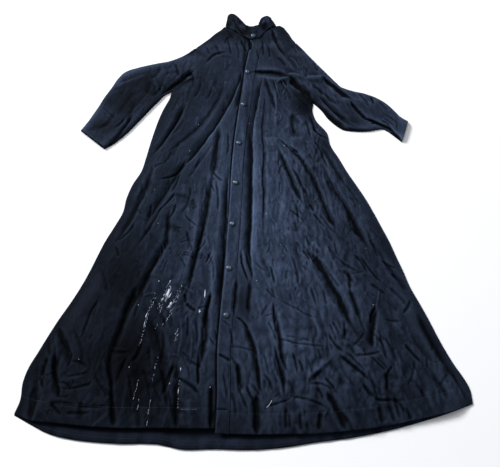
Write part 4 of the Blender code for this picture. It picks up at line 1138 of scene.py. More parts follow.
def crest_of(points):
    """Over 0 on ridges and under 0 in troughs, from the cloth's height against its surroundings;
    the cloth's colour paints light on the ridges and shade in the troughs by it.
    """
    height = points[..., 2]
    fine = np.tanh((height - blur(height, 1)) / 0.5)
    near = np.tanh((height - blur(height, 4)) / 3.0)
    wide = np.tanh((height - blur(height, 12)) / 9.0)
    return 0.4 * fine + 0.5 * near + 0.5 * wide


def kept_places(count, fine):
    """Every few places of a run, and every one of a fine stretch at each of its ends."""
    places = np.arange(count)
    return places[(places % COARSE == 0) | (places < fine) | (places >= count - max(fine, 1))]


def lowest_round(field, kept):
    """The least value round each kept row, up to the kept rows on both its sides."""
    before = np.concatenate([[0], kept[:-1] + 1])
    after = np.concatenate([kept[1:], [len(field)]])
    return np.stack([field[low:high].min(axis=0) for low, high in zip(before, after)])


def add_shell(name, surface, wall, painted_shading=0.0):
    """A closed thin wall under a grid of points, columns running right and rows up. The last
    argument adds painted light (over 0) and painted shade (under 0) to each place's crest."""
    top = surface.points
    rows, columns = top.shape[:2]
    count = rows * columns
    kept_rows, kept_columns = kept_places(rows, 0), kept_places(columns, FINE_EDGE)
    kept = (kept_rows[:, None] * columns + kept_columns).ravel()
    bottom = top.reshape(-1, 3)[kept]
    lowest = lowest_round(lowest_round(top[..., 2], kept_rows).T, kept_columns).T
    bottom[:, 2] = lowest.ravel() - wall
    faces = grid_quads(rows, columns, False).tolist()
    faces += (grid_quads(len(kept_rows), len(kept_columns), False)[:, ::-1] + count).tolist()
    border = rim_loop(rows, columns).tolist()
    inside = rim_loop(len(kept_rows), len(kept_columns))
    place_of = {index: place for place, index in enumerate(border)}
    for here, beside in zip(inside, np.roll(inside, -1)):
        start, end = place_of[kept[here]], place_of[kept[beside]]
        end += len(border) if end < start else 0
        walk = [border[place % len(border)] for place in range(end, start - 1, -1)]
        faces.append([int(here) + count, int(beside) + count] + walk)
    piece = add_mesh(name, np.concatenate([top.reshape(-1, 3), bottom]), faces, drill())
    fields = (surface.cloth_map.reshape(-1, 2), (crest_of(top) + painted_shading).ravel(),
              tone_at(top[..., 0], top[..., 1]).ravel())
    add_cloth_maps(piece, *(np.concatenate([field, field[kept]]) for field in fields))
    return piece


def add_double(name, surface, outer, inner, faces, crest):
    """A piece with an outer and an inner skin of like points, which share their cloth's maps."""
    points = np.concatenate([outer.reshape(-1, 3), inner.reshape(-1, 3)])
    piece = add_mesh(name, points, faces.tolist(), drill())
    fields = (surface.cloth_map.reshape(-1, 2), crest.reshape(-1, 1),
              tone_at(outer[..., 0], outer[..., 1]).reshape(-1, 1))
    flat, crest, tone = (np.tile(field, (2, 1)) for field in fields)
    add_cloth_maps(piece, flat, crest.ravel(), tone.ravel())
    return piece


def add_tube(name, surface, wall, mirror):
    """A closed wall between outer and inner rings, open at both ends."""
    outer = surface.points
    sections, count = outer.shape[:2]
    shell = sections * count
    quads = grid_quads(sections, count, True)
    faces = [quads, quads[:, ::-1] + shell]
    for section, turned in ((0, True), (sections - 1, False)):
        here = section * count + np.arange(count)
        beside = section * count + (np.arange(count) + 1) % count
        rim = np.stack([here, beside, beside + shell, here + shell], axis=-1)
        faces.append(rim[:, ::-1] if turned else rim)
    faces = np.concatenate(faces)
    crest = np.zeros((sections, count))
    crest[:, :OVER_PLACES] = crest_of(outer[:, :OVER_PLACES])
    return add_double(name, surface, outer, inner_rings(outer, wall),
                      faces[:, ::-1] if mirror else faces, crest)


def add_band(name, surface, wall, crest):
    """A closed band half a wall to either side of its middle surface."""
    half = grid_normals(surface.points) * wall / 2
    rows, columns = half.shape[:2]
    count = rows * columns
    quads = grid_quads(rows, columns, False)
    loop = rim_loop(rows, columns)
    after = np.roll(loop, -1)
    rim = np.stack([loop + count, after + count, after, loop], axis=-1)
    return add_double(name, surface, surface.points + half, surface.points - half,
                      np.concatenate([quads, quads[:, ::-1] + count, rim]), crest)


def add_node(tree, kind, inputs=None, **options):
    """Add one node with its options; each of its inputs takes a value, a socket or a node."""
    node = tree.nodes.new(kind)
    for option, value in options.items():
        setattr(node, option, value)
    for socket, value in (inputs or {}).items():
        if isinstance(value, bpy.types.Node):
            value = value.outputs[0]
        if isinstance(value, bpy.types.NodeSocket):
            tree.links.new(value, node.inputs[socket])
        else:
            node.inputs[socket].default_value = value
    return node


def add_material(name, rough, **shading):
    """A Principled material with its even settings on the shader's own sockets."""
    material = bpy.data.materials.new(name)
    material.use_nodes = True
    tree = material.node_tree
    shader = tree.nodes["Principled BSDF"]
    shader.inputs["Roughness"].default_value = rough
    shader.inputs["Metallic"].default_value = 0.0
    for socket, value in shading.items():
        shader.inputs[socket.replace("_", " ")].default_value = value
    return material, tree, shader


def rgba(value):
    return (value[0], value[1], value[2], 1.0)


def bands_apart(spacing):
    """The scale that sets a wave texture's bands this far apart, in metres."""
    return math.tau / 20.0 / spacing


def uneven_colour(tree, shader, tint, low, high, **cloud):
    """Let a finish wander between two shades of its tint; gives its places and the cloud."""
    place = add_node(tree, "ShaderNodeTexCoord").outputs["Object"]
    noise = add_node(tree, "ShaderNodeTexNoise", {"Vector": place, **cloud})
    shades = [rgba([min(channel * share, 1.0) for channel in tint]) for share in (low, high)]
    mixed = add_node(tree, "ShaderNodeMix", {"Factor": noise, 6: shades[0], 7: shades[1]},
                     data_type="RGBA")
    tree.links.new(mixed.outputs[2], shader.inputs["Base Color"])
    return place, noise


def cotton_drill():
    """Piece-dyed cotton drill, twill woven: a matt blue-black with a faint nap. Its colour carries
    painted light on its ridges, painted shade in its creases, and patches painted paler and darker."""
    cloth = settings().cloth
    material, tree, shader = add_material(
        "cotton_drill", 0.82, Sheen_Weight=0.03, Sheen_Roughness=0.4,
        Sheen_Tint=(0.42, 0.52, 0.72, 1.0), Specular_IOR_Level=0.06,
        Specular_Tint=(0.78, 0.86, 1.0, 1.0), IOR=1.47)
    sewn = add_node(tree, "ShaderNodeUVMap", uv_map="cloth")
    place = add_node(tree, "ShaderNodeTexCoord").outputs["Object"]
    crest, tone = (add_node(tree, "ShaderNodeAttribute", attribute_name=name).outputs["Fac"]
                   for name in ("crest", "tone"))

    # Twill lines are 0.7 mm apart; they are drawn at 2 mm, because finer ones don't show.
    lean = add_node(tree, "ShaderNodeMapping",
                    {"Vector": sewn, "Rotation": (0.0, 0.0, math.radians(63.0))})
    twill = add_node(tree, "ShaderNodeTexWave", {
        "Vector": lean, "Scale": bands_apart(0.002), "Distortion": 0.6, "Detail": 1.0},
        bands_direction="X")
    # Slubs are thicker yarns, 1.5 mm wide here and some 30 mm long, along the warp.
    warp = add_node(tree, "ShaderNodeMapping", {"Vector": sewn, "Scale": (660.0, 33.0, 1.0)})
    slub = add_node(tree, "ShaderNodeTexNoise", {"Vector": warp, "Scale": 1.0, "Detail": 2.0})
    # Uneven dye and fading in patches of some 100 mm down to 5 mm.
    mottle = add_node(tree, "ShaderNodeTexNoise", {
        "Vector": place, "Scale": 11.0, "Detail": 6.0, "Roughness": 0.68})
    # Hand-sized crush marks of 15 to 40 mm with sharp little ridges.
    crush = add_node(tree, "ShaderNodeTexNoise", {
        "Vector": place, "Scale": 34.0, "Detail": 4.0, "Roughness": 0.55, "Distortion": 0.4},
        noise_type="RIDGED_MULTIFRACTAL")
    # Lint, wear and pressed-in crinkles of 4 to 8 mm, drawn out along the warp.
    rubbed = add_node(tree, "ShaderNodeMapping", {"Vector": sewn, "Scale": (190.0, 95.0, 1.0)})
    rub = add_node(tree, "ShaderNodeTexNoise", {
        "Vector": rubbed, "Scale": 1.0, "Detail": 2.0, "Roughness": 0.6})

    # Painted shade in the troughs, the dyed colour between and painted light on the ridges, with
    # paler and darker yarns.
    painted_shading = add_node(tree, "ShaderNodeMath", {0: crest, 1: 0.42, 2: 0.39}, operation="MULTIPLY_ADD")
    painted_shading = add_node(tree, "ShaderNodeMath", {0: slub, 1: 0.22, 2: painted_shading}, operation="MULTIPLY_ADD")
    ramp = add_node(tree, "ShaderNodeValToRGB", {"Fac": painted_shading})
    stops = ramp.color_ramp.elements
    stops[0].position, stops[0].color = 0.08, rgba(cloth.deep)
    stops[1].position, stops[1].color = 0.92, rgba(cloth.faded)
    stops.new(0.5).color = rgba(cloth.dyed)

    # The tone (patches and crease bands of painted light and shade), the mottle and the rubbing all
    # scale that colour by a power of e.
    uneven = add_node(tree, "ShaderNodeMath", {0: mottle, 1: 1.8, 2: tone},
                      operation="MULTIPLY_ADD")
    uneven = add_node(tree, "ShaderNodeMath", {0: rub, 1: 0.9, 2: uneven}, operation="MULTIPLY_ADD")
    uneven = add_node(tree, "ShaderNodeMath", {0: uneven, 1: 1.35}, operation="SUBTRACT")
    shade = add_node(tree, "ShaderNodeMath", {0: math.e, 1: uneven}, operation="POWER")
    dyed = add_node(tree, "ShaderNodeVectorMath", {0: ramp, "Scale": shade}, operation="SCALE")
    tree.links.new(dyed.outputs[0], shader.inputs["Base Color"])
    rough = add_node(tree, "ShaderNodeMath", {0: slub, 1: 0.16, 2: 0.72}, operation="MULTIPLY_ADD")
    tree.links.new(rough.outputs[0], shader.inputs["Roughness"])

    creased = add_node(tree, "ShaderNodeBump", {
        "Strength": 0.6, "Distance": 0.0022, "Height": crush})
    yarns = add_node(tree, "ShaderNodeMath", {0: twill.outputs[1], 1: slub}, operation="ADD")
    woven = add_node(tree, "ShaderNodeBump", {
        "Strength": 0.5, "Distance": 0.00022, "Height": yarns, "Normal": creased})
    tree.links.new(woven.outputs[0], shader.inputs["Normal"])
    return material


def spun_thread(name, tint):
    """Two-ply mercerised cotton thread: a touch glossier than the cloth, ribbed by its twist."""
    material, tree, shader = add_material(name, 0.55, Sheen_Weight=0.1, Specular_IOR_Level=0.35)
    # Its dye wanders over some 17 mm.
    place, _ = uneven_colour(tree, shader, tint, 0.6, 1.35, Scale=60.0, Detail=3.0)
    # The twist repeats every 0.9 mm.
    twist = add_node(tree, "ShaderNodeTexWave", {"Vector": place, "Scale": bands_apart(0.0009)},
                     bands_direction="DIAGONAL")
    ribs = add_node(tree, "ShaderNodeBump", {
        "Strength": 0.4, "Distance": 0.0001, "Height": twist.outputs[1]})
    tree.links.new(ribs.outputs[0], shader.inputs["Normal"])
    return material


def cast_polyester():
    """Cast and polished polyester: near black and glassy, with fine scuffs from wear."""
    material, tree, shader = add_material(
        "cast_polyester", 0.3, IOR=1.54, Specular_IOR_Level=0.8,
        Specular_Tint=(0.5, 0.72, 1.0, 1.0), Coat_Weight=0.12, Coat_Roughness=0.3)
    # Swirls from the casting are some 6 mm across.
    place, _ = uneven_colour(tree, shader, settings().sewing.button_colour, 0.7, 1.7,
                             Scale=160.0, Detail=2.0, Distortion=1.5)
    # Scuffs are 0.5 to 2 mm across.
    scuffs = add_node(tree, "ShaderNodeTexNoise", {
        "Vector": place, "Scale": 700.0, "Detail": 3.0, "Roughness": 0.6})
    rough = add_node(tree, "ShaderNodeMath", {0: scuffs, 1: 0.12, 2: 0.26},
                     operation="MULTIPLY_ADD")
    tree.links.new(rough.outputs[0], shader.inputs["Roughness"])
    marks = add_node(tree, "ShaderNodeBump", {
        "Strength": 0.1, "Distance": 0.00005, "Height": scuffs})
    tree.links.new(marks.outputs[0], shader.inputs["Normal"])
    return material


def dried_emulsion():
    """Dried matt emulsion paint: chalky, thin enough in places for the cloth to grey it."""
    material, tree, shader = add_material("dried_emulsion", 0.6, Specular_IOR_Level=0.4)
    # Thick and thin places are some 4 mm across.
    _, thin = uneven_colour(tree, shader, settings().sewing.paint_colour, 0.35, 1.15,
                            Scale=260.0, Detail=4.0, Roughness=0.7)
    grain = add_node(tree, "ShaderNodeBump", {
        "Strength": 0.4, "Distance": 0.0002, "Height": thin})
    tree.links.new(grain.outputs[0], shader.inputs["Normal"])
    return material


def lint(name, code):
    """Matted cotton lint: without gloss, and fuzzy in tufts of some 0.7 mm."""
    material, tree, shader = add_material(name, 0.95, Sheen_Weight=0.5, Specular_IOR_Level=0.1)
    uneven_colour(tree, shader, linear(code), 0.5, 1.0, Scale=1500.0, Detail=3.0)
    return material


def coated_paper():
    """Matt coated background paper: a near-white that wanders very faintly over 170 mm."""
    material, tree, shader = add_material("coated_paper", 0.9, Specular_IOR_Level=0.1)
    uneven_colour(tree, shader, settings().stage.floor_colour, 0.99, 1.0, Scale=6.0, Detail=3.0)
    return material


def drill():
    """The cloth's finish, which all the cut pieces share, made once."""
    return bpy.data.materials.get("cotton_drill") or cotton_drill()


def settle(piece, *nodes, slot="cloth"):
    """Tie a finished piece to the garment's one body and hide the solids that it stands for."""
    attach(piece, "root")
    if nodes:
        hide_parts(*nodes)
    return piece


def cloth_grid(name, rows, columns):
    """The upper face of a finished piece, read back from its mesh, in millimetres."""
    mesh = bpy.data.objects[name].data
    places = np.empty(len(mesh.vertices) * 3)
    mesh.vertices.foreach_get("co", places)
    return places.reshape(-1, 3)[:rows * columns].reshape(rows, columns, 3) / MM


def start_tree(name, **given):
    """A new tree of geometry nodes with its named inputs; gives the tree and those inputs."""
    tree = bpy.data.node_groups.new(name, "GeometryNodeTree")
    for label, kind in given.items():
        tree.interface.new_socket(name=label, in_out="INPUT", socket_type="NodeSocket" + kind)
    tree.interface.new_socket(name="Made", in_out="OUTPUT", socket_type="NodeSocketGeometry")
    return tree, add_node(tree, "NodeGroupInput").outputs


def end_tree(tree, copies, material):
    """Make a tree's copies real and smooth, and give them their material."""
    real = add_node(tree, "GeometryNodeRealizeInstances", {"Geometry": copies})
    smooth = add_node(tree, "GeometryNodeSetShadeSmooth", {"Geometry": real})
    dressed = add_node(tree, "GeometryNodeSetMaterial", {"Geometry": smooth, "Material": material})
    add_node(tree, "NodeGroupOutput", {0: dressed})
    return tree


def add_stitch_tree():
    """Geometry nodes that lay one stitch after another along every run of edges."""
    tree, given = start_tree("stitches", Runs="Geometry", Pitch="Float", Length="Float",
                             Width="Float", Unevenness="Float", Thread="Material")
    runs = add_node(tree, "GeometryNodeMeshToCurve", {"Mesh": given["Runs"]})
    points = add_node(tree, "GeometryNodeCurveToPoints", {
        "Curve": runs, "Length": given["Pitch"]}, mode="LENGTH")
    stitch = add_node(tree, "GeometryNodeMeshUVSphere", {"Segments": 6, "Rings": 4, "Radius": 0.5})
    least = add_node(tree, "ShaderNodeMath", {0: 1.0, 1: given["Unevenness"]}, operation="SUBTRACT")
    vary = add_node(tree, "FunctionNodeRandomValue", {"Max": 1.0, "Seed": 7, 2: least},
                    data_type="FLOAT")
    long = add_node(tree, "ShaderNodeMath", {0: given["Length"], 1: vary.outputs[1]},
                    operation="MULTIPLY")
    size = add_node(tree, "ShaderNodeCombineXYZ", {
        "X": given["Width"], "Y": given["Width"], "Z": long})
    laid = add_node(tree, "GeometryNodeInstanceOnPoints", {
        "Points": points, "Instance": stitch, "Rotation": points.outputs["Rotation"],
        "Scale": size})
    return end_tree(tree, laid, given["Thread"])


def add_button_tree():
    """Geometry nodes that sew one button on at each seat, square to the cloth there."""
    tree, given = start_tree("buttons", Seats="Geometry", Button="Object", Finish="Material")
    form = add_node(tree, "GeometryNodeObjectInfo", {"Object": given["Button"]})
    tilt = add_node(tree, "GeometryNodeInputNamedAttribute", {"Name": "tilt"},
                    data_type="FLOAT_VECTOR")
    square = add_node(tree, "FunctionNodeAlignRotationToVector", {"Vector": tilt}, axis="Z")
    sewn = add_node(tree, "GeometryNodeInstanceOnPoints", {
        "Points": given["Seats"], "Instance": form.outputs["Geometry"], "Rotation": square})
    return end_tree(tree, sewn, given["Finish"])


def realise(carrier, name, tree, values):
    """Run geometry nodes on a carrier and keep their result as a plain mesh."""
    modifier = carrier.modifiers.new("shape", "NODES")
    modifier.node_group = tree
    for item in tree.interface.items_tree:
        if item.in_out == "INPUT" and item.name in values:
            modifier[item.identifier] = values[item.name]
    depsgraph = bpy.context.evaluated_depsgraph_get()
    mesh = bpy.data.meshes.new_from_object(carrier.evaluated_get(depsgraph))
    mesh.name = name
    bpy.data.objects.remove(carrier, do_unlink=True)
    if not len(mesh.polygons):
        raise RuntimeError(name + " came out empty")
    return add_object(name, mesh)


def sew(name, runs, tree, pitch, long, wide, uneven, thread):
    """Lay stitches along runs of points on the cloth and settle them there as one piece."""
    points = []
    edges = []
    for run in runs:
        start = len(points)
        points += (np.asarray(run) * MM).tolist()
        edges += [(index, index + 1) for index in range(start, len(points) - 1)]
    mesh = bpy.data.meshes.new(name + "_runs")
    mesh.from_pydata(points, edges, [])
    return settle(realise(add_object(mesh.name, mesh), name, tree, {
        "Pitch": pitch, "Length": long, "Width": wide, "Unevenness": uneven, "Thread": thread}))


def drape(piece, x, y, lift):
    """Lay places on a piece from above; gives the points that meet it."""
    points = []
    for here_x, here_y in zip(np.atleast_1d(x), np.atleast_1d(y)):
        hit, place, _, _ = piece.ray_cast((here_x * MM, here_y * MM, 1.0), (0.0, 0.0, -1.0))
        if hit:
            points.append(np.array(place) / MM + (0.0, 0.0, lift))
    return points


def hem_runs(lift):
    """Topstitching of the three hems, where each shows."""
    turn = settings().cloth.hem_turn / MM
    runs = []
    for side, start, end in (("right", -650.0, -90.0), ("left", -82.0, 655.0)):
        x = np.arange(start, end, 4.0)
        cloth = bpy.data.objects["front_" + side + "_cloth"]
        runs.append(drape(cloth, x, through(HEMS, "x", side, x) + turn, lift))
    x = np.arange(-560.0, 520.0, 4.0)
    shows = np.minimum(through(HEMS, "x", "right", x), through(HEMS, "x", "left", x))
    low = through(HEMS, "x", "back", x) + BACK_HEM
    kept = low < shows - HEM_CLEAR
    runs.append(drape(bpy.data.objects["back_cloth"], x[kept], low[kept], lift))
    return runs


def grid_line(points, place):
    """A line across a grid at a fractional column number."""
    low = int(place)
    share = place - low
    return points[:, low] * (1.0 - share) + points[:, low + 1] * share


def placket_runs(lift):
    """Topstitching down both edges of the placket."""
    points = cloth_grid("placket_cloth", placket_rows(), LAP_COLUMNS)
    inset = settings().sewing.margin / MM / (PLACKET_WIDTH / (LAP_COLUMNS - 1))
    return [grid_line(points, place) + (0.0, 0.0, lift)
            for place in (inset, LAP_COLUMNS - 1 - inset)]


def collar_runs(lift):
    """Topstitching along both long edges of the collar, on both of its faces."""
    points = cloth_grid("collar_cloth", COLLAR_AROUND, COLLAR_UP)
    wall = settings().cloth.collar_thickness / MM
    normal = grid_normals(points)
    margin = settings().sewing.margin / MM / COLLAR_HEIGHT * (COLLAR_UP - 1)
    runs = []
    for out in (lift, -lift - wall):
        skin = points + normal * out
        runs += [grid_line(skin, place)[3:-3] for place in (margin, COLLAR_UP - 1 - margin)]
    return runs


def cuff_runs(lift):
    """Topstitching round the top of each cuff, by its seam and by the hand opening."""
    runs = []
    for name in ("cuff_right_cloth", "cuff_left_cloth"):
        rings = cloth_grid(name, CUFF_RINGS, OVER_PLACES + UNDER_PLACES)
        runs += [rings[ring, 2:OVER_PLACES - 2] + (0.0, 0.0, lift) for ring in (3, CUFF_RINGS - 4)]
    return runs


def armhole_runs(lift):
    """Topstitching on the body beside each armhole."""
    runs = []
    for armhole, side, seam in ((RIGHT_ARMHOLE, "right_side", ARMHOLE_SEAM),
                                (LEFT_ARMHOLE, "left_side", -ARMHOLE_SEAM)):
        y = np.arange(arm_level(armhole[0]) + 4.0, arm_level(armhole[1]), 3.0)
        x = through(BODY, "y", side, y) + seam
        runs.append(np.stack([x, y, front_top(x, y, "right") + lift], axis=-1))
    return runs


def buttonhole_runs(lift):
    """The bars of the buttonholes, which run out from under each placket button to both sides."""
    placket = bpy.data.objects["placket_cloth"]
    return [drape(placket, np.linspace(button.x + start, button.x + end, 6),
                  np.full(6, button.y), lift)
            for button in BUTTONS[1:] for start, end in BAR_ENDS]


def turned_button():
    """One button's form: a low rolled rim, a groove, a domed face and a flat back."""
    # Shares of the radius and of the height, from the middle of the back to that of the face.
    profile = (
        (0.0, 0.0), (0.55, 0.0), (0.86, 0.05), (0.97, 0.15), (1.0, 0.28), (0.99, 0.40),
        (0.96, 0.50), (0.92, 0.55), (0.88, 0.56), (0.84, 0.59), (0.79, 0.68), (0.73, 0.78),
        (0.66, 0.87), (0.56, 0.93), (0.42, 0.965), (0.22, 0.99), (0.0, 1.0),
    )
    sewing = settings().sewing
    points = [(0.0, 0.0, 0.0)]
    for radius, height in profile[1:-1]:
        for turn in np.linspace(0.0, math.tau, BUTTON_SIDES, endpoint=False):
            points.append((sewing.button_radius * radius * math.cos(turn),
                           sewing.button_radius * radius * math.sin(turn),
                           sewing.button_height * height))
    points.append((0.0, 0.0, sewing.button_height))
    rings = len(profile) - 2
    faces = []
    for side in range(BUTTON_SIDES):
        beside = (side + 1) % BUTTON_SIDES
        faces.append((0, 1 + beside, 1 + side))
        for ring in range(rings - 1):
            low = 1 + ring * BUTTON_SIDES
            high = low + BUTTON_SIDES
            faces.append((low + side, low + beside, high + beside, high + side))
        last = 1 + (rings - 1) * BUTTON_SIDES
        faces.append((last + side, last + beside, len(points) - 1))
    mesh = bpy.data.meshes.new("button_form")
    mesh.from_pydata(points, [], faces)
    return add_object("button_form", mesh)


def button_seats():
    """Where each button touches its cloth, and which way the cloth faces there."""
    radius = settings().sewing.button_radius / MM * 0.9
    seats = []
    tilts = []
    for number, button in enumerate(BUTTONS):
        cloth = bpy.data.objects["collar_cloth" if number == 0 else "placket_cloth"]
        turns = np.linspace(0.0, math.tau, 16, endpoint=False)
        x = button.x + radius * np.concatenate([np.cos(turns), [0.0]])
        y = button.y + radius * np.concatenate([np.sin(turns), [0.0]])
        points = np.array(drape(cloth, x, y, 0.0))
        middle = points.mean(axis=0)
        aside, over = points[:, :2] - middle[:2], points[:, 2] - middle[2]
        slopes = np.linalg.lstsq(aside, over, rcond=None)[0]
        seats.append((button.x, button.y, middle[2] + (over - aside @ slopes).max() + REST))
        tilts.append(Vector((-slopes[0], -slopes[1], 1.0)).normalized())
    return seats, tilts


def add_fleck(points, faces, cloth, x, y, run, width, turn, draw):
    """One closed fleck of dried paint, laid on the cloth: a ragged rim and a low middle."""
    rim_x = []
    rim_y = []
    for place in np.linspace(0.0, math.tau, FLECK_SIDES, endpoint=False):
        ragged = 0.75 + 0.5 * draw.rand()
        along = math.cos(place) * run / 2 * ragged
        across = math.sin(place) * width / 2 * ragged
        rim_x.append(x + along * math.cos(turn) - across * math.sin(turn))
        rim_y.append(y + along * math.sin(turn) + across * math.cos(turn))
    laid = drape(cloth, rim_x + [x], rim_y + [y], 0.0)
    if len(laid) < FLECK_SIDES + 1:
        return False
    start = len(points)
    top, bottom = start + FLECK_SIDES, start + FLECK_SIDES + 1
    points += [point + (0.0, 0.0, 0.12) for point in laid[:FLECK_SIDES]]
    points += [laid[-1] + (0.0, 0.0, 0.40), laid[-1] + (0.0, 0.0, -0.2)]
    for side in range(start, top):
        beside = start + (side + 1 - start) % FLECK_SIDES
        faces += [(side, beside, top), (beside, side, bottom)]
    return True


class CassockOperator:
    """What every operator of this add-on shares."""

    bl_options = {"REGISTER", "UNDO"}


class CASSOCK_OT_body(CassockOperator, bpy.types.Operator):
    """Make the back, both fronts and the placket"""

    bl_idname = "cassock.body"
    bl_label = "Body"

    def execute(self, context):
        wall = settings().cloth.thickness / MM
        back = settle(add_shell("back_cloth", back_surface(), wall), "back")
        surface = front_right_surface()
        # Painted shade where the right front runs in under the placket.
        dark = GROOVE_PAINTED_SHADE * lap_groove(surface.cloth_map[..., 0], surface.cloth_map[..., 1])
        right = settle(add_shell("front_right_cloth", surface, wall, dark), "front_right")
        surface = front_left_surface()
        left = settle(add_shell("front_left_cloth", surface, wall), "front_left")
        surface = placket_surface(surface)
        # A painted highlight along the placket's free edge.
        pale = np.zeros(surface.points.shape[:2])
        pale[:, :2] = EDGE_PAINTED_LIGHT
        placket = settle(add_shell("placket_cloth", surface, wall, pale), "placket")
        return {"FINISHED"}


class CASSOCK_OT_sleeves(CassockOperator, bpy.types.Operator):
    """Make both sleeves and their cuffs"""

    bl_idname = "cassock.sleeves"
    bl_label = "Sleeves"

    def execute(self, context):
        wall = settings().cloth.thickness / MM
        for side, table, armhole, outward, cuff_size in (
            ("right", RIGHT_SLEEVE, RIGHT_ARMHOLE, -1, (0.24, 0.044)),
            ("left", LEFT_SLEEVE, LEFT_ARMHOLE, 1, (0.20, 0.040)),
        ):
            seam = len(table) - 2.0
            numbers = np.concatenate([[-1.0], np.arange(0.0, seam, SLEEVE_STEP), [seam]])
            surface = tube_surface(table, numbers, armhole, outward, 0.0)
            name = "sleeve_" + side
            sleeve = settle(add_tube(name + "_cloth", surface, wall, outward < 0), name)
            numbers = np.linspace(seam - CUFF_LAP, seam + 1.0, CUFF_RINGS)
            surface = tube_surface(table, numbers, None, outward, CUFF_LIFT)
            name = "cuff_" + side
            cuff = settle(add_tube(name + "_cloth", surface, wall * CUFF_WALL, outward < 0),
                          name)
        return {"FINISHED"}


class CASSOCK_OT_collar(CassockOperator, bpy.types.Operator):
    """Make the standing collar, creased over where it lies"""

    bl_idname = "cassock.collar"
    bl_label = "Collar"

    def execute(self, context):
        surface, sway = collar_surface()
        wall = settings().cloth.collar_thickness / MM
        # The collar's sway is its crest: painted light where it bulges out, painted shade where it
        # dips in.
        collar = settle(add_band("collar_cloth", surface, wall, np.tanh(sway)), "collar")
        return {"FINISHED"}


class CASSOCK_OT_sewing(CassockOperator, bpy.types.Operator):
    """Sew the hems, edges, cuffs, armholes and buttonholes"""

    bl_idname = "cassock.sewing"
    bl_label = "Sewing"

    def execute(self, context):
        context.view_layer.update()
        sewing = settings().sewing
        lift = sewing.thread / MM * 0.2
        tree = add_stitch_tree()
        thread = spun_thread("dyed_cotton_thread", sewing.thread_colour)
        runs = (hem_runs(lift) + placket_runs(lift) + collar_runs(lift) + cuff_runs(lift)
                + armhole_runs(lift))
        sew("topstitching", runs, tree, sewing.pitch, sewing.length, sewing.thread, 0.25, thread)
        sew("buttonholes", buttonhole_runs(lift), tree, *BAR_STITCH, 0.2, thread)
        start, end, level = WORN_HEM
        x = np.arange(start, end, 3.0)
        laid = drape(bpy.data.objects["front_right_cloth"], x, np.full(len(x), level), lift)
        sew("worn_hem_stitches", [laid], tree, sewing.pitch * 0.8, sewing.length,
            sewing.thread * 1.2, 0.5, spun_thread("bleached_thread", sewing.worn_thread_colour))
        return {"FINISHED"}


class CASSOCK_OT_buttons(CassockOperator, bpy.types.Operator):
    """Sew on the eight buttons"""

    bl_idname = "cassock.buttons"
    bl_label = "Buttons"

    def execute(self, context):
        context.view_layer.update()
        seats, tilts = button_seats()
        mesh = bpy.data.meshes.new("button_seats")
        mesh.from_pydata([tuple(c * MM for c in seat) for seat in seats], [], [])
        field = mesh.attributes.new("tilt", "FLOAT_VECTOR", "POINT")
        field.data.foreach_set("vector", [part for tilt in tilts for part in tilt])
        form = turned_button()
        buttons = realise(add_object("button_seats", mesh), "buttons", add_button_tree(), {
            "Button": form, "Finish": cast_polyester()})
        bpy.data.objects.remove(form, do_unlink=True)
        settle(buttons, *["button_" + str(number) for number in range(1, len(BUTTONS) + 1)],
               slot="button")
        return {"FINISHED"}


class CASSOCK_OT_marks(CassockOperator, bpy.types.Operator):
    """Splash the dried paint and scatter the lint"""

    bl_idname = "cassock.marks"
    bl_label = "Marks"

    def execute(self, context):
        context.view_layer.update()
        draw = np.random.RandomState(5)
        self.paint(draw)
        for shade, code in (("pale", "#b9c2d2"), ("pink", "#b0637a")):
            name = shade + "_lint"
            points = []
            faces = []
            for speck in SPECKS:
                if speck.colour != shade:
                    continue
                for below in LINT_CLOTHS:
                    cloth, turn = bpy.data.objects[below], draw.rand() * 3.0
                    if add_fleck(points, faces, cloth, speck.x, speck.y, speck.size,
                                 speck.size * 0.7, turn, draw):
                        break
            settle(add_mesh(name, np.array(points), faces, lint(name, code)))
        # A snippet of pale thread lies above the left front's hem.
        laid = drape(bpy.data.objects["front_left_cloth"], np.linspace(66.0, 80.0, 12),
                     -656.0 + 18.0 * np.linspace(0.0, 1.0, 12) ** 1.4, 0.7)
        sew("loose_thread", [laid], bpy.data.node_groups["stitches"], *LOOSE_TWIST, 0.1,
            lint("loose_cotton", "#d5dbe6"))
        return {"FINISHED"}

    def paint(self, draw):
        """Lay every streak's flecks: a lone one as long as its streak, or many strewn along it."""
        cloth = bpy.data.objects["front_right_cloth"]
        points = []
        faces = []
        for streak in STREAKS:
            run_x, run_y = streak.x1 - streak.x0, streak.y1 - streak.y0
            turn = math.atan2(run_y, run_x)
            for number in range(streak.flecks):
                along, aside, swing = 0.5, 0.0, 0.0
                long, wide = math.hypot(run_x, run_y), streak.width
                if streak.flecks > 1:
                    along = (number + draw.rand()) / streak.flecks
                    aside = (draw.rand() - 0.5) * streak.width
                    long = 3.0 + 8.0 * draw.rand() ** 2
                    wide = 0.5 + 1.1 * draw.rand() ** 2
                    swing = 0.5 * (draw.rand() - 0.5)
                x = streak.x0 + along * run_x - aside * math.sin(turn)
                y = streak.y0 + along * run_y + aside * math.cos(turn)
                add_fleck(points, faces, cloth, x, y, long, wide, turn + swing, draw)
        settle(add_mesh("paint_marks", np.array(points), faces, dried_emulsion()))


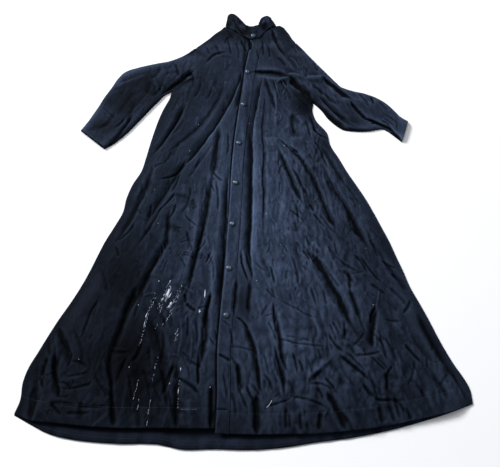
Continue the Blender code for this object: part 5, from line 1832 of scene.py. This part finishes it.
class CASSOCK_OT_stage(CassockOperator, bpy.types.Operator):
    """Lay the floor, light it and set up the camera"""

    bl_idname = "cassock.stage"
    bl_label = "Stage"

    def execute(self, context):
        stage = settings().stage
        scene = context.scene
        corners = np.array([(-1, -1, 0), (1, -1, 0), (1, 1, 0), (-1, 1, 0)]) * (FLOOR_REACH / MM)
        floor = add_mesh("floor", corners - (0.0, 0.0, FLOOR_DROP), [(0, 1, 2, 3)], coated_paper())
        self.lamp("key", KEY_PLACE, KEY_SIZE, stage.key_power)
        self.lamp("overhead", OVERHEAD_PLACE, OVERHEAD_SIZE, stage.overhead_power)
        world = bpy.data.worlds.new("studio")
        world.use_nodes = True
        background = world.node_tree.nodes["Background"]
        background.inputs["Color"].default_value = (0.93, 0.96, 1.0, 1.0)
        background.inputs["Strength"].default_value = stage.fill_strength
        scene.world = world
        camera = add_object("camera", bpy.data.cameras.new("camera"))
        camera.data.sensor_width = 36.0
        camera.data.sensor_fit = "HORIZONTAL"
        camera.data.lens = stage.lens
        lean = stage.elevation
        camera.location = TARGET + stage.distance * Vector((0.0, -math.cos(lean), math.sin(lean)))
        camera.rotation_euler = (math.pi / 2 - lean, 0.0, 0.0)
        scene.camera = camera
        scene.view_settings.view_transform = "Standard"
        return {"FINISHED"}

    def lamp(self, name, place, size, power):
        """A square soft box that faces the garment."""
        lamp = add_object(name, bpy.data.lights.new(name, "AREA"))
        lamp.data.energy = power
        lamp.data.size = size
        lamp.location = place
        lamp.rotation_euler = (TARGET - Vector(place)).to_track_quat("-Z", "Y").to_euler()


class CASSOCK_PT_panel(bpy.types.Panel):
    """Sidebar panel with the cassock's sizes, colours and operators"""

    bl_idname = "CASSOCK_PT_panel"
    bl_label = "Cassock"
    bl_space_type = "VIEW_3D"
    bl_region_type = "UI"
    bl_category = "Cassock"

    def draw(self, context):
        chosen = context.scene.cassock
        for group in (chosen.cloth, chosen.sewing, chosen.stage):
            box = self.layout.box()
            for name in group.__annotations__:
                box.prop(group, name)
        for operator in OPERATORS:
            self.layout.operator(operator.bl_idname)


OPERATORS = (
    CASSOCK_OT_body, CASSOCK_OT_sleeves, CASSOCK_OT_collar, CASSOCK_OT_sewing,
    CASSOCK_OT_buttons, CASSOCK_OT_marks, CASSOCK_OT_stage,
)
CLASSES = (
    CassockCloth, CassockSewing, CassockStage, CassockSettings, *OPERATORS, CASSOCK_PT_panel,
)


def register():
    for each in CLASSES:
        bpy.utils.register_class(each)
    bpy.types.Scene.cassock = bpy.props.PointerProperty(
        type=CassockSettings, name="Cassock", description="Settings of the cassock")


def unregister():
    del bpy.types.Scene.cassock
    for each in reversed(CLASSES):
        bpy.utils.unregister_class(each)


def main():
    register()
    bpy.ops.cassock.body()
    bpy.ops.cassock.sleeves()
    bpy.ops.cassock.collar()
    bpy.ops.cassock.sewing()
    bpy.ops.cassock.buttons()
    bpy.ops.cassock.marks()
    bpy.ops.cassock.stage()


if __name__ == "__main__":
    main()
